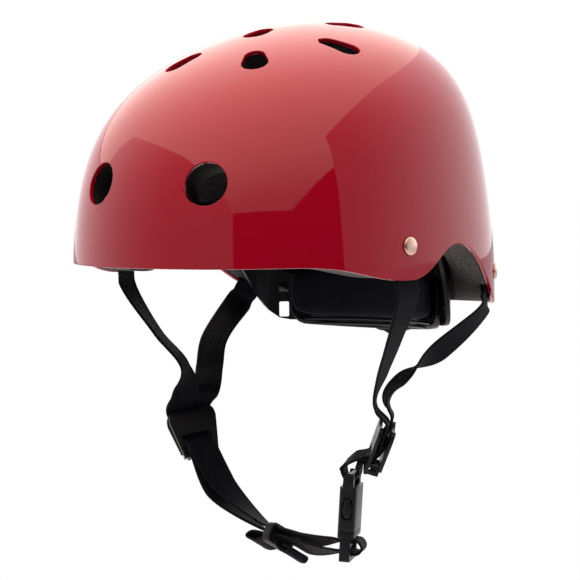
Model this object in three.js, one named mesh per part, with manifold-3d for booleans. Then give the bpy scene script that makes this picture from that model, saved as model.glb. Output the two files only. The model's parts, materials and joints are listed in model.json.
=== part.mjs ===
// A child's skate-style helmet: gloss shell, foam liner, comfort pads, webbing harness with
// locking dividers and a side-release buckle, and a rear cradle with a turning size dial.
// Millimetres, +Z up, front towards -Y, the wearer's left towards +X.
import * as THREE from 'three';
import { mergeVertices } from 'three/addons/utils/BufferGeometryUtils.js';
import Module from 'manifold-3d';

const wasm = await Module();
wasm.setup();

// Clearances
const SEAT = 0.3;             // between two pieces that touch
const OVERRUN = 12;           // how far a cutter runs past what it cuts

// Shell
const SHELL_HALF_WIDTH = 99.1;
const SHELL_FRONT = 148.1;    // crown axis to front, at the widest level
const SHELL_REAR = 97.9;      // crown axis to rear, at the widest level
const SHELL_HEIGHT = 125;    // crown above the brow rim
const WIDEST_DEPTH = 10.4;    // widest level below the brow rim
const CROWN_REACH_LONG = 150; // crown's roundness along the helmet
const CROWN_REACH_WIDE = 125; // crown's roundness across the helmet
const SHELL_WALL = 2.4;
const FRONT_SHARES = { fullness: 0.079, skew: -0.003 };
const REAR_SHARES = { fullness: -0.06, skew: 0.035 };
const SIDE_SHARES = { fullness: 0.096, skew: -0.031 };
const FRONT_CORNER_SHARE = 0.048;
const REAR_CORNER_SHARE = -0.01;

// Rim, as seen from the side
const BROW_END_Y = -118;
const FLAP_Y = -52;
const FLAP_DROP = 8.7;
const NOTCH_Y = -13;
const NOTCH_RISE = 7.9;
const NAPE_Y = 62;
const NAPE_DROP = 28;
const BROW_EASE_SHARE = 0.5;
const FLAP_EASE_SHARE = 0.42;
const NOTCH_EASE_SHARE = 0.36;
const NAPE_EASE_SHARE = 0.4;

// Vents
const ROUND_VENT_RADIUS = 11;
const ROUND_VENT_X = 34.5;
const ROUND_VENT_Z = 41.7;
const RING_Y = -50;           // the crown vents fan out from here
const FRONT_VENT = { x: 23.5, y: -83, length: 21, wide: 7, narrow: 5.2 };
const SIDE_VENT = { x: 48, y: -44.5, length: 23, wide: 6.3, narrow: 4.8 };
const BACK_VENT = { x: 26, y: -10, length: 21, wide: 6.6, narrow: 5 };
const CENTRE_VENT = { x: 0, y: RING_Y, length: 18, wide: 6.8, narrow: 6 };

// Liner
const LINER_GAP = 0.4;
const FOAM = 18;
const LINER_RISE = 0.9;       // liner's rim above the shell's rim

// Webbing and rivets
const WEB_WIDTH = 15;
const WEB_THICK = 1.4;
const RIVET_HEAD_RADIUS = 4.6;
const RIVET_HEAD_THICK = 1.4;
const RIVET_SHANK_RADIUS = 2.1;
const WASHER_RADIUS = 6.2;
const WASHER_THICK = 1;
const FRONT_RIVET = { y: -52.9, z: 8.5 };
const REAR_RIVET = { y: 47, z: -9.5 };
const REAR_SLANT_SHARE = 0.7; // how far the rear webbing runs forward for each unit down
const STRAP_TAIL = 9;         // webbing above each rivet
const SLACK_SHARES = [0.4, 0.7]; // where each free run of webbing bows, from the wall to its divider
const FRONT_BOW = { left: [1, 2], right: [5, 12], forward: [0, 0] };
const REAR_BOW = { left: [3, 9], right: [-1.7, -0.8], leftForward: [0, 0], rightForward: [9, 5] };
const APPROACH = { front: 11, rear: 6 }; // how far inwards the webbing hangs above a divider
const CHANNEL_SIDE = 1.2;     // room beside the webbing in the liner
const CHANNEL_DEPTH = 1.9;    // room behind the webbing in the liner

// Locking dividers
const DIVIDER = { x: 62, y: -33, z: -97 };
const DIVIDER_TURN = THREE.MathUtils.degToRad(39);
const DIVIDER_LEAN = THREE.MathUtils.degToRad(20);
const DIVIDER_TILT = THREE.MathUtils.degToRad(10); // in its own plane, top to the front
const DIVIDER_WIDTH = 26;
const DIVIDER_HEIGHT = 26;
const DIVIDER_FOOT = 19;      // width at its lower end
const DIVIDER_PLATE = 1.8;
const DIVIDER_CORNER = 3;
const LEVER_GAP = 5;          // between base and lever, for two layers of webbing
const HINGE_RADIUS = 1.5;
const HINGE_EAR = 2;
const WINDOW_HEIGHT = 9.4;    // slot in the base the webbing leaves by
const WINDOW_TOP = -0.5;      // its upper edge, from the middle of the divider

// Buckle
const BUCKLE = { x: 48.2, y: -38.1, z: -109.3 };
const BUCKLE_TURN = THREE.MathUtils.degToRad(27);
const BUCKLE_LEAN = THREE.MathUtils.degToRad(4);
const BUCKLE_WIDTH = 24;
const BUCKLE_THICK = 9;
const SOCKET_LENGTH = 30;
const PRONG_BASE_LENGTH = 15.5;
const PRONG_SOLID = 3;        // base above its first slot
const PRONG_LIP = 2.2;        // bar that closes its lower end
const BUCKLE_WALL = 1.6;
const BUCKLE_CORNER = 2.4;
const BAR_RADIUS = 1.5;
const BAR_EYE = 4;            // slot for the webbing beside each bar
const GUIDE_WIDTH = 5;
const ARM_WIDTH = 2.6;
const BARB_REACH = 1.9;
const PRONG_REACH = 17;

// Keeper
const KEEPER = { x: -6.5, y: -31, z: -149.3 };
const KEEPER_LENGTH = 5;
const KEEPER_WALL = 1.5;
const KEEPER_LAYERS = 4;
const LAYER_PITCH = 1.85;     // one layer of webbing and the gap to the next
const CHIN_TILT = THREE.MathUtils.degToRad(30);

// Rear cradle
const CRADLE_ROUND_SHARE = 0.8274; // cradle's radius to the shell's half width
const CRADLE_RADIUS = CRADLE_ROUND_SHARE * SHELL_HALF_WIDTH; // middle of the band, about its own upright axis
const CRADLE_BACK_Y = 56;
const FRAME_THICK = 2.4;
const FRAME_HALF_LENGTH = 54;
const FRAME_TOP = -12.5;
const FRAME_FOOT = -43.5;
const FRAME_END_LIFT = 2.5;
const PAD_THICK = 5;
const PAD_HALF_LENGTH = 51;
const PAD_MARGIN = 2.2;
const PAD_RAIL = 8;           // frame left bare below the pad
const ARM_THICK = 2.2;
const ARM_GAP = 0.5;
const COVER_THICK = 2.2;
const COVER_HALF_LENGTH = 33;
const COVER_LIP = 1.6;
const DIAL_Z = -28;
const PINION_TEETH = 12;
const TOOTH_MODULE = 1.2;
const PRESSURE_ANGLE = THREE.MathUtils.degToRad(25);
const BACKLASH = 0.35;
const RACK_TEETH = 11;
const RACK_BACKING = 4;
const SHAFT_RADIUS = 3.6;
const KNOB_RADIUS = 19.5;
const KNOB_DEPTH = 7;
const KNOB_LOBES = 12;
const KNOB_LOBE_DEPTH = 1.1;
const HAND_START = 40;        // where the toothed strip widens into the windowed hand
const HAND_FOOT = 4;          // hand's lower edge above the frame's
const HAND_WINDOW = { at: 58, length: 5.5, tab: 5.5, upper: 5.5, lower: 8.5 };
const HAND_BEND = 61;         // where the arm leaves the band's curve
const ANCHOR = { inset: 3.72, y: 2, z: 15 }; // middle of the eyelet, inset from the liner's face
const STUD_RADIUS = 3;
const STUD_GRIP = 9;          // shank inside the liner
const STUD_HEAD_RADIUS = 6.4;
const STUD_HEAD_THICK = 1.6;
const EYELET_RADIUS = 8;
const EYELET_BORE = 4.2;
const EYELET_SLIDE = 4.2;     // how far the eyelet may slide inwards on its stud

// Comfort pads
const COMFORT_THICK = 6;
const BROW_PAD = { turn: -90, spread: 48, low: 10, high: 34 };
const TEMPLE_PAD = { turn: -22, spread: 16, low: 16, high: 42 };
const NAPE_PAD = { turn: 52, spread: 18, low: 24, high: 46 };
const CROWN_PAD = { x: 0, y: -2, length: 68, width: 22 };

// Finishes
const finishes = {
  shell: { color: 0xb0101f, roughness: 0.08, metalness: 0 },
  foam: { color: 0x4a4c4b, roughness: 0.95, metalness: 0 },
  webbing: { color: 0x15151a, roughness: 0.85, metalness: 0 },
  satin_plastic: { color: 0x1b1c1f, roughness: 0.4, metalness: 0 },
  gloss_plastic: { color: 0x101218, roughness: 0.15, metalness: 0 },
  pad_fabric: { color: 0x101320, roughness: 0.95, metalness: 0 },
  rivet: { color: 0xd9a58f, roughness: 0.3, metalness: 1 },
  washer: { color: 0xa8a8a8, roughness: 0.35, metalness: 1 },
  rubber: { color: 0x0f0f10, roughness: 0.7, metalness: 0 },
};

const vec = (x, y, z) => new THREE.Vector3(x, y, z);
const object = new THREE.Group();

// Adds one named piece
function place(name, finish, solid) {
  const mesh = new THREE.Mesh(geometryOf(solid), new THREE.MeshStandardMaterial(finishes[finish]));
  mesh.name = name;
  object.add(mesh);
  return mesh;
}

// Makes a solid from a closed geometry
function solidOf(geometry) {
  const bare = geometry.clone();
  bare.deleteAttribute('normal');
  bare.deleteAttribute('uv');
  const merged = mergeVertices(bare, 1e-5);
  return new wasm.Manifold(new wasm.Mesh({
    numProp: 3,
    vertProperties: new Float32Array(merged.attributes.position.array),
    triVerts: new Uint32Array(merged.index.array),
  }));
}

// Gives a solid's surface back as a geometry
function geometryOf(solid) {
  const mesh = solid.getMesh();
  const geometry = new THREE.BufferGeometry();
  geometry.setAttribute('position', new THREE.BufferAttribute(new Float32Array(mesh.vertProperties), 3));
  geometry.setIndex(new THREE.BufferAttribute(new Uint32Array(mesh.triVerts), 1));
  geometry.computeVertexNormals();
  return geometry;
}

const moved = (geometry, matrix) => solidOf(geometry.clone().applyMatrix4(matrix));
const joined = (...solids) => solids.reduce((all, next) => all.add(next));
const cut = (solid, ...cutters) => cutters.reduce((left, cutter) => left.subtract(cutter), solid);

// A frame of reference from its origin and two of its axes
function frameAt(origin, xAxis, yAxis) {
  const x = xAxis.clone().normalize();
  const z = x.clone().cross(yAxis).normalize();
  const y = z.clone().cross(x);
  return new THREE.Matrix4().makeBasis(x, y, z).setPosition(origin);
}

const inFrame = (matrix, x, y, z) => vec(x, y, z).applyMatrix4(matrix);
const shifted = (x, y, z) => new THREE.Matrix4().makeTranslation(x, y, z);
const mirrored = (solid) => solid.mirror([1, 0, 0]);

// Joins rings of equal count into one closed solid with a flat or fanned cap at each end
function loft(rings) {
  const count = rings[0].length;
  const positions = rings.flat().flatMap((p) => [p.x, p.y, p.z]);
  const index = [];
  for (let row = 0; row + 1 < rings.length; row += 1) {
    for (let i = 0; i < count; i += 1) {
      const next = (i + 1) % count;
      const a = row * count + i;
      const b = row * count + next;
      index.push(a, b, b + count, a, b + count, a + count);
    }
  }
  for (const [row, order] of [[0, [0, 2, 1]], [rings.length - 1, [0, 1, 2]]]) {
    const middle = rings[row].reduce((sum, p) => sum.add(p), vec(0, 0, 0)).divideScalar(count);
    const centre = positions.length / 3;
    positions.push(middle.x, middle.y, middle.z);
    for (let i = 0; i < count; i += 1) {
      const fan = [centre, row * count + i, row * count + ((i + 1) % count)];
      index.push(fan[order[0]], fan[order[1]], fan[order[2]]);
    }
  }
  const geometry = new THREE.BufferGeometry();
  geometry.setAttribute('position', new THREE.Float32BufferAttribute(positions, 3));
  geometry.setIndex(index);
  const solid = solidOf(geometry);
  if (solid.volume() > 0) return solid;
  geometry.setIndex(index.map((_, i) => index[i - (i % 3) + 2 - (i % 3)]));
  return solidOf(geometry);
}

// A rounded rectangle centred on the origin
function roundedShape(width, height, corner) {
  const w = width / 2;
  const h = height / 2;
  const shape = new THREE.Shape();
  shape.moveTo(-w + corner, -h);
  shape.lineTo(w - corner, -h);
  shape.absarc(w - corner, -h + corner, corner, -Math.PI / 2, 0, false);
  shape.absarc(w - corner, h - corner, corner, 0, Math.PI / 2, false);
  shape.absarc(-w + corner, h - corner, corner, Math.PI / 2, Math.PI, false);
  shape.absarc(-w + corner, -h + corner, corner, Math.PI, 1.5 * Math.PI, false);
  return shape;
}

// An outline pushed out from z = 0 by depth, in a frame
function prism(shape, depth, matrix, curveSegments = 2) {
  return moved(new THREE.ExtrudeGeometry(shape, { depth, bevelEnabled: false, curveSegments }), matrix);
}

const slab = (width, height, corner, depth, matrix) => prism(roundedShape(width, height, corner), depth, matrix);

// A profile of [radius, height] pairs turned about the local Z axis
function turned(profile, matrix, segments = 20) {
  const points = profile.map(([radius, height]) => new THREE.Vector2(radius, height));
  const upright = new THREE.LatheGeometry(points, segments).rotateX(Math.PI / 2);
  return moved(upright, matrix);
}

// A point on the shell's surface, or on a surface inset into it
function domePoint(turn, rise, inset) {
  const level = Math.cos(rise);
  const lift = Math.sin(rise);
  const bulge = Math.sin(2 * rise) ** 2;
  const lean = bulge * Math.cos(2 * rise);
  const reach = (half, crown, shares) => level * (half - inset + (crown - half) * lift ** 3)
    * (1 + shares.fullness * bulge + shares.skew * lean);
  const front = reach(SHELL_FRONT, CROWN_REACH_LONG, FRONT_SHARES);
  const rear = reach(SHELL_REAR, CROWN_REACH_LONG, REAR_SHARES);
  const side = reach(SHELL_HALF_WIDTH, CROWN_REACH_WIDE, SIDE_SHARES);
  const corner = FRONT_CORNER_SHARE + (REAR_CORNER_SHARE - FRONT_CORNER_SHARE) * (1 + Math.sin(turn)) / 2;
  const swell = 1 + corner * level ** 2 * Math.sin(2 * turn) ** 2;
  return vec(
    side * Math.cos(turn) * swell,
    (rear - front) / 2 + ((rear + front) / 2) * Math.sin(turn) * swell,
    -WIDEST_DEPTH + (SHELL_HEIGHT - inset + WIDEST_DEPTH) * lift,
  );
}

// The rise angle at which an inset surface reaches a height
function riseAt(z, inset) {
  const share = (z + WIDEST_DEPTH) / (SHELL_HEIGHT - inset + WIDEST_DEPTH);
  return Math.asin(THREE.MathUtils.clamp(share, 0, 1));
}

// The point of an inset surface on the wearer's left, at a given y and z
function wallPoint(y, z, inset) {
  const rise = riseAt(z, inset);
  let rearmost = Math.PI / 2;
  let foremost = -Math.PI / 2;
  for (let i = 0; i < 40; i += 1) {
    const turn = (rearmost + foremost) / 2;
    if (domePoint(turn, rise, inset).y > y) rearmost = turn;
    else foremost = turn;
  }
  const p = domePoint((rearmost + foremost) / 2, rise, inset);
  return vec(p.x, y, z);
}

// The point of an inset surface above a plan position
function crownPoint(x, y, inset) {
  let high = Math.PI / 2;
  let low = 0;
  for (let i = 0; i < 40; i += 1) {
    const rise = (high + low) / 2;
    const middle = (domePoint(Math.PI / 2, rise, inset).y + domePoint(-Math.PI / 2, rise, inset).y) / 2;
    const side = domePoint(0, rise, inset).x;
    const half = domePoint(Math.PI / 2, rise, inset).y - middle;
    const turn = Math.atan2((y - middle) / half, x / side);
    const edge = domePoint(turn, rise, inset);
    if (Math.hypot(edge.x, edge.y - middle) > Math.hypot(x, y - middle)) low = rise;
    else high = rise;
  }
  const rise = (high + low) / 2;
  return vec(x, y, -WIDEST_DEPTH + (SHELL_HEIGHT - inset + WIDEST_DEPTH) * Math.sin(rise));
}

// A frame on the shell: origin on the surface, X towards a direction, Z outwards
function surfaceFrame(finder, x, y, direction) {
  const step = 1;
  const p = finder(x, y);
  const alongX = finder(x + step, y).sub(p);
  const alongY = finder(x, y + step).sub(p);
  const normal = alongX.cross(alongY).normalize();
  const side = normal.clone().cross(direction).normalize();
  return new THREE.Matrix4().makeBasis(side.clone().cross(normal), side, normal).setPosition(p);
}

// A dome with a straight skirt down to a floor
function dome(inset, floor, [around, up]) {
  const ring = (rise) => Array.from({ length: around }, (_, i) => (
    domePoint((i / around) * 2 * Math.PI, rise, inset)));
  const skirt = ring(0).map((p) => vec(p.x, p.y, floor));
  const rings = [skirt];
  for (let row = 0; row < up; row += 1) rings.push(ring((row / up) * Math.PI / 2));
  const cap = ring(Math.PI / 2 * (1 - 0.25 / up));
  rings.push(cap);
  return loft(rings);
}

// Everything above the rim line, as seen from the side
function aboveRim(lift) {
  const top = SHELL_HEIGHT + OVERRUN;
  const front = -SHELL_FRONT - OVERRUN;
  const back = SHELL_REAR + OVERRUN;
  const ease = (share, from, to) => share * (to - from);
  const shape = new THREE.Shape();
  shape.moveTo(front, lift);
  shape.lineTo(BROW_END_Y, lift);
  shape.bezierCurveTo(
    BROW_END_Y + ease(BROW_EASE_SHARE, BROW_END_Y, FLAP_Y), lift,
    FLAP_Y - ease(FLAP_EASE_SHARE, BROW_END_Y, FLAP_Y), lift - FLAP_DROP,
    FLAP_Y, lift - FLAP_DROP,
  );
  shape.bezierCurveTo(
    FLAP_Y + ease(FLAP_EASE_SHARE, FLAP_Y, NOTCH_Y), lift - FLAP_DROP,
    NOTCH_Y - ease(NOTCH_EASE_SHARE, FLAP_Y, NOTCH_Y), lift + NOTCH_RISE,
    NOTCH_Y, lift + NOTCH_RISE,
  );
  shape.bezierCurveTo(
    NOTCH_Y + ease(NOTCH_EASE_SHARE, NOTCH_Y, NAPE_Y), lift + NOTCH_RISE,
    NAPE_Y - ease(NAPE_EASE_SHARE, NOTCH_Y, NAPE_Y), lift - NAPE_DROP,
    NAPE_Y, lift - NAPE_DROP,
  );
  shape.lineTo(back, lift - NAPE_DROP);
  shape.lineTo(back, top);
  shape.lineTo(front, top);
  const reach = SHELL_HALF_WIDTH + OVERRUN;
  const across = frameAt(vec(-reach, 0, 0), vec(0, 1, 0), vec(0, 0, 1));
  return prism(shape, 2 * reach, across, 8);
}

// A teardrop outline along X, wide end first
function teardrop({ length, wide, narrow }) {
  const shape = new THREE.Shape();
  const far = length / 2 - wide;
  const near = -length / 2 + narrow;
  const lean = Math.asin((wide - narrow) / (far - near));
  shape.absarc(far, 0, wide, -Math.PI / 2 - lean, Math.PI / 2 + lean, false);
  shape.absarc(near, 0, narrow, Math.PI / 2 + lean, 1.5 * Math.PI - lean, false);
  return shape;
}

// Cutters for all vents, each along its own normal
function ventCutters(room) {
  const depth = SHELL_WALL + FOAM + 2 * OVERRUN;
  const sink = shifted(0, 0, OVERRUN - depth);
  const cutters = [];
  const crown = (x, y) => crownPoint(x, y, 0);
  for (const vent of [FRONT_VENT, SIDE_VENT, BACK_VENT, CENTRE_VENT]) {
    const grown = { length: vent.length + 2 * room, wide: vent.wide + room, narrow: vent.narrow + room };
    const away = vent.x ? vec(vent.x, vent.y - RING_Y, 0) : vec(0, -1, 0);
    const frame = surfaceFrame(crown, vent.x, vent.y, away).multiply(sink);
    const cutter = prism(teardrop(grown), depth, frame, 3);
    cutters.push(cutter);
    if (vent.x) cutters.push(mirrored(cutter));
  }
  for (const end of [-1, 1]) {
    const wall = (x, z) => {
      let turn = end * Math.PI / 2;
      const rise = riseAt(z, 0);
      for (let i = 0; i < 30; i += 1) turn += end * (domePoint(turn, rise, 0).x - x) / SHELL_REAR;
      return domePoint(turn, rise, 0);
    };
    const p = wall(ROUND_VENT_X, ROUND_VENT_Z);
    const along = wall(ROUND_VENT_X + 1, ROUND_VENT_Z).sub(p);
    const up = wall(ROUND_VENT_X, ROUND_VENT_Z + 1).sub(p);
    const frame = frameAt(p, along.multiplyScalar(-end), up).multiply(sink);
    const round = new THREE.Shape().absarc(0, 0, ROUND_VENT_RADIUS + room, 0, 2 * Math.PI, false);
    const cutter = prism(round, depth, frame, 9);
    cutters.push(cutter, mirrored(cutter));
  }
  return cutters;
}

// Webbing: a flat ribbon through stations, each with a point and the direction across it
function ribbon(stations, steps, width, thick) {
  const path = new THREE.CatmullRomCurve3(stations.map((s) => s.at), false, 'centripetal');
  const lean = new THREE.CatmullRomCurve3(stations.map((s) => s.across.clone().normalize()), false, 'centripetal');
  const rings = [];
  for (let i = 0; i <= steps; i += 1) {
    const t = i / steps;
    const p = path.getPoint(t);
    const run = path.getTangent(t);
    const across = lean.getPoint(t);
    across.addScaledVector(run, -across.dot(run)).normalize();
    const out = run.clone().cross(across).multiplyScalar(thick / 2);
    across.multiplyScalar(width / 2);
    rings.push([[-1, -1], [1, -1], [1, 1], [-1, 1]].map(([a, b]) => (
      p.clone().addScaledVector(across, a).addScaledVector(out, b))));
  }
  return loft(rings);
}

// Where the webbing lies against the shell, on the wearer's left
const WEB_INSET = SHELL_WALL + SEAT + WEB_THICK / 2 + 0.6 * WEB_THICK;
const onWall = (y, z) => ({ at: wallPoint(y, z, WEB_INSET), across: wallAcross(y, z) });
function wallAcross(y, z) {
  return wallPoint(y + 1, z, WEB_INSET).sub(wallPoint(y - 1, z, WEB_INSET)).normalize();
}

// Shell and liner
// Facets around and up each skin: shell outside and inside, liner outside and inside
const FACETS = { outer: [48, 10], bore: [40, 8], foam: [40, 8], cavity: [28, 7] };
const DEEP = -NAPE_DROP - OVERRUN;
const FOAM_FACE = SHELL_WALL + LINER_GAP;
const CAVITY_FACE = FOAM_FACE + FOAM;
const rivetAxes = [FRONT_RIVET, REAR_RIVET].map(({ y, z }) => (
  surfaceFrame((a, b) => wallPoint(a, b, 0), y, z, vec(0, 1, 0))));

function bore(radius, depth, axis, segments = 10) {
  return turned([[0, -depth], [radius, -depth], [radius, OVERRUN], [0, OVERRUN]], axis, segments);
}

function shell() {
  const holes = rivetAxes.map((axis) => bore(RIVET_SHANK_RADIUS + SEAT, OVERRUN, axis));
  return cut(
    dome(0, DEEP, FACETS.outer).intersect(aboveRim(0)),
    dome(SHELL_WALL, DEEP - OVERRUN, FACETS.bore),
    ...ventCutters(0),
    ...holes,
    ...holes.map(mirrored),
  );
}

function liner() {
  const channels = [frontOnWall, rearOnWall].map((stations) => (
    ribbon([between(stations[0], stations[1], -CHANNEL_SIDE / LIP, vec(0, 0, 0)), ...stations], 12, WEB_WIDTH + 2 * CHANNEL_SIDE, WEB_THICK + 2 * CHANNEL_DEPTH)));
  const pocketDepth = STACK_DEPTH + RIVET_HEAD_THICK;
  const pockets = rivetAxes.map((axis) => bore(WASHER_RADIUS + CHANNEL_SIDE, pocketDepth, axis, 12));
  const socket = bore(STUD_RADIUS + SEAT, STUD_GRIP, studFrame(0), 16);
  const sides = [...channels, ...pockets, socket];
  return cut(
    dome(FOAM_FACE, DEEP, FACETS.foam).intersect(aboveRim(LINER_RISE)),
    dome(CAVITY_FACE, DEEP - OVERRUN, FACETS.cavity),
    ...ventCutters(CHANNEL_SIDE / 2),
    ...sides,
    ...sides.map(mirrored),
  );
}

// Rivets and their washers
const WEB_FACE = WEB_INSET + WEB_THICK / 2;
const WASHER_FACE = WEB_FACE + SEAT;
const STACK_DEPTH = WASHER_FACE + WASHER_THICK + SEAT;

function rivet(axis) {
  const flare = 1.5 * RIVET_SHANK_RADIUS;
  return turned([
    [0, -STACK_DEPTH - RIVET_HEAD_THICK / 2],
    [flare, -STACK_DEPTH - RIVET_HEAD_THICK / 2],
    [flare, -STACK_DEPTH],
    [RIVET_SHANK_RADIUS, -STACK_DEPTH],
    [RIVET_SHANK_RADIUS, SEAT],
    [RIVET_HEAD_RADIUS, SEAT],
    [RIVET_HEAD_RADIUS, SEAT + RIVET_HEAD_THICK / 2],
    [RIVET_HEAD_RADIUS * 0.8, SEAT + RIVET_HEAD_THICK * 0.9],
    [RIVET_HEAD_RADIUS * 0.4, SEAT + RIVET_HEAD_THICK],
    [0, SEAT + RIVET_HEAD_THICK],
  ], axis, 12);
}

function washer(axis) {
  return cut(
    turned([
      [0, -WASHER_FACE - WASHER_THICK],
      [WASHER_RADIUS, -WASHER_FACE - WASHER_THICK],
      [WASHER_RADIUS, -WASHER_FACE],
      [0, -WASHER_FACE],
    ], axis, 12),
    bore(RIVET_SHANK_RADIUS + SEAT, 2 * STACK_DEPTH, axis),
  );
}

// Webbing routes
const flipped = ({ at, across }) => ({
  at: vec(-at.x, at.y, at.z),
  across: vec(-across.x, across.y, across.z),
});
const station = (frame, x, y, z) => ({
  at: inFrame(frame, x, y, z),
  across: vec(1, 0, 0).transformDirection(frame),
});
const between = (a, b, share, bow) => ({
  at: a.at.clone().lerp(b.at, share).add(bow),
  across: a.across.clone().lerp(b.across, share),
});

const LIP = WEB_WIDTH / 2;
const frontOnWall = [
  onWall(FRONT_RIVET.y, FRONT_RIVET.z + STRAP_TAIL),
  onWall(FRONT_RIVET.y, FRONT_RIVET.z),
  onWall(FLAP_Y, -FLAP_DROP),
  onWall(FLAP_Y + LIP / 4, -FLAP_DROP - LIP),
];
const rearOnWall = [-STRAP_TAIL, 0, LIP, 2 * LIP, 2.6 * LIP].map((down) => (
  onWall(REAR_RIVET.y - down * REAR_SLANT_SHARE, REAR_RIVET.z - down)));

// Locking dividers: local X to the rear, Y up, Z away from the face
const dividerOut = vec(Math.cos(DIVIDER_TURN), Math.sin(DIVIDER_TURN), 0);
const dividerRear = vec(-Math.sin(DIVIDER_TURN), Math.cos(DIVIDER_TURN), 0);
const dividerUp = vec(0, 0, Math.cos(DIVIDER_LEAN)).addScaledVector(dividerOut, Math.sin(DIVIDER_LEAN));
const dividerFrame = frameAt(vec(DIVIDER.x, DIVIDER.y, DIVIDER.z), dividerRear, dividerUp)
  .multiply(new THREE.Matrix4().makeRotationZ(DIVIDER_TILT));
const dividerAxis = (x, y, z) => vec(x, y, z).transformDirection(dividerFrame);
const LAYER = 0.57 * LAYER_PITCH;
const HINGE_Y = -DIVIDER_HEIGHT / 2 + HINGE_RADIUS;

function dividerOutline(foot) {
  const top = DIVIDER_HEIGHT / 2;
  const half = DIVIDER_WIDTH / 2;
  const toe = DIVIDER_FOOT / 2;
  const c = DIVIDER_CORNER;
  const shape = new THREE.Shape();
  shape.moveTo(-toe, foot);
  shape.lineTo(toe, foot);
  shape.lineTo(half, top - 2 * c);
  shape.quadraticCurveTo(half, top, half - c, top);
  shape.quadraticCurveTo(0, top - c, -half + c, top);
  shape.quadraticCurveTo(-half, top, -half, top - 2 * c);
  return shape;
}

const onDivider = (x, y, z) => shifted(x, y, z).premultiply(dividerFrame);
const hingeAxis = (x) => (
  frameAt(inFrame(dividerFrame, x, HINGE_Y, 0), dividerAxis(0, 1, 0), dividerAxis(0, 0, 1)));

function dividerBase() {
  const under = -LEVER_GAP / 2 - DIVIDER_PLATE;
  const plate = cut(
    prism(dividerOutline(-DIVIDER_HEIGHT / 2), DIVIDER_PLATE, onDivider(0, 0, under), 5),
    slab(WEB_WIDTH + 5 * SEAT, WINDOW_HEIGHT, SEAT * 3, DIVIDER_PLATE * 3, onDivider(
      0, WINDOW_TOP - WINDOW_HEIGHT / 2, under - DIVIDER_PLATE)),
  );
  const ears = [-1, 1].map((side) => {
    const x = side * (DIVIDER_FOOT / 2 - HINGE_EAR / 2 - SEAT);
    return slab(HINGE_EAR, 2 * HINGE_RADIUS - 2 * SEAT, HINGE_RADIUS / 3, LEVER_GAP / 2 + HINGE_RADIUS, onDivider(
      x, HINGE_Y, under + DIVIDER_PLATE / 2 + HINGE_RADIUS / 2));
  });
  const pin = HINGE_RADIUS - 2 * SEAT;
  const rod = turned([[0, 0], [pin, 0], [pin, DIVIDER_FOOT - HINGE_EAR], [0, DIVIDER_FOOT - HINGE_EAR]],
    hingeAxis(-(DIVIDER_FOOT - HINGE_EAR) / 2), 10);
  return joined(plate, ...ears, rod);
}

function dividerLever() {
  const foot = HINGE_Y + HINGE_RADIUS + SEAT;
  const plate = prism(dividerOutline(foot), DIVIDER_PLATE, onDivider(0, 0, LEVER_GAP / 2), 5);
  const x = DIVIDER_FOOT / 2 - 2 * HINGE_EAR - 2 * SEAT;
  const hooks = [-1, 1].map((side) => slab(
    HINGE_EAR, 3.6 * HINGE_RADIUS, HINGE_RADIUS / 2, LEVER_GAP / 2 + HINGE_RADIUS + DIVIDER_PLATE / 2,
    onDivider(side * (x + HINGE_EAR / 2), HINGE_Y + 0.6 * HINGE_RADIUS, -HINGE_RADIUS)));
  const hole = HINGE_RADIUS - SEAT;
  const tunnel = turned([[0, 0], [hole, 0], [hole, DIVIDER_WIDTH], [0, DIVIDER_WIDTH]],
    hingeAxis(-DIVIDER_WIDTH / 2), 10);
  return cut(joined(plate, ...hooks), tunnel);
}

// Through a divider, from a front (-1) or rear (1) corner, out of its window
function throughDivider(corner) {
  const z = corner * LAYER;
  const half = DIVIDER_WIDTH / 2;
  const side = corner * (half - WEB_WIDTH / 2);
  const exit = WINDOW_TOP - WINDOW_HEIGHT / 2;
  const above = station(dividerFrame, side * 1.5, half * 1.9, z * 1.4);
  above.at.x -= corner < 0 ? APPROACH.front : APPROACH.rear;
  return [
    above,
    station(dividerFrame, side * 0.95, half * 1.15, z),
    station(dividerFrame, side * 0.75, half * 0.6, z),
    station(dividerFrame, side * 0.1, WINDOW_TOP + LAYER_PITCH / 2, z * 1.1),
    station(dividerFrame, -SEAT, exit - z, z - LEVER_GAP / 2 - DIVIDER_PLATE / 2),
    station(dividerFrame, -SEAT, exit - 2.2 * LAYER_PITCH - 0.6 * z, 1.3 * z - LEVER_GAP - 2.4 * DIVIDER_PLATE),
  ];
}

// Buckle: local X to the rear, Y up, Z away from the face, origin at the socket's top
const buckleOut = vec(Math.cos(BUCKLE_TURN), Math.sin(BUCKLE_TURN), 0);
const buckleRear = vec(-Math.sin(BUCKLE_TURN), Math.cos(BUCKLE_TURN), 0);
const buckleUp = vec(0, 0, Math.cos(BUCKLE_LEAN)).addScaledVector(buckleOut, Math.sin(BUCKLE_LEAN));
const buckleFrame = frameAt(vec(BUCKLE.x, BUCKLE.y, BUCKLE.z), buckleRear, buckleUp);
const buckleFace = vec(0, 0, 1).transformDirection(buckleFrame);
const onBuckle = (x, y, z) => shifted(x, y, z).premultiply(buckleFrame);
const SOCKET_BAR_Y = -BAR_RADIUS - SEAT;
const PRONG_TOP = -SOCKET_LENGTH - SEAT;
const PRONG_BAR_Y = PRONG_TOP - PRONG_SOLID - BAR_EYE - BAR_RADIUS;
const WRAP = BAR_RADIUS + SEAT + WEB_THICK / 2 + SEAT / 2;
const CHEEK = (BUCKLE_WIDTH - WEB_WIDTH) / 2 - SEAT;

// A block of the buckle from one height down by a length
function buckleBlock(width, top, length, thick, corner) {
  const frame = frameAt(inFrame(buckleFrame, 0, top, 0), buckleRear, buckleFace);
  return slab(width, thick, corner, length, frame);
}

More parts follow.
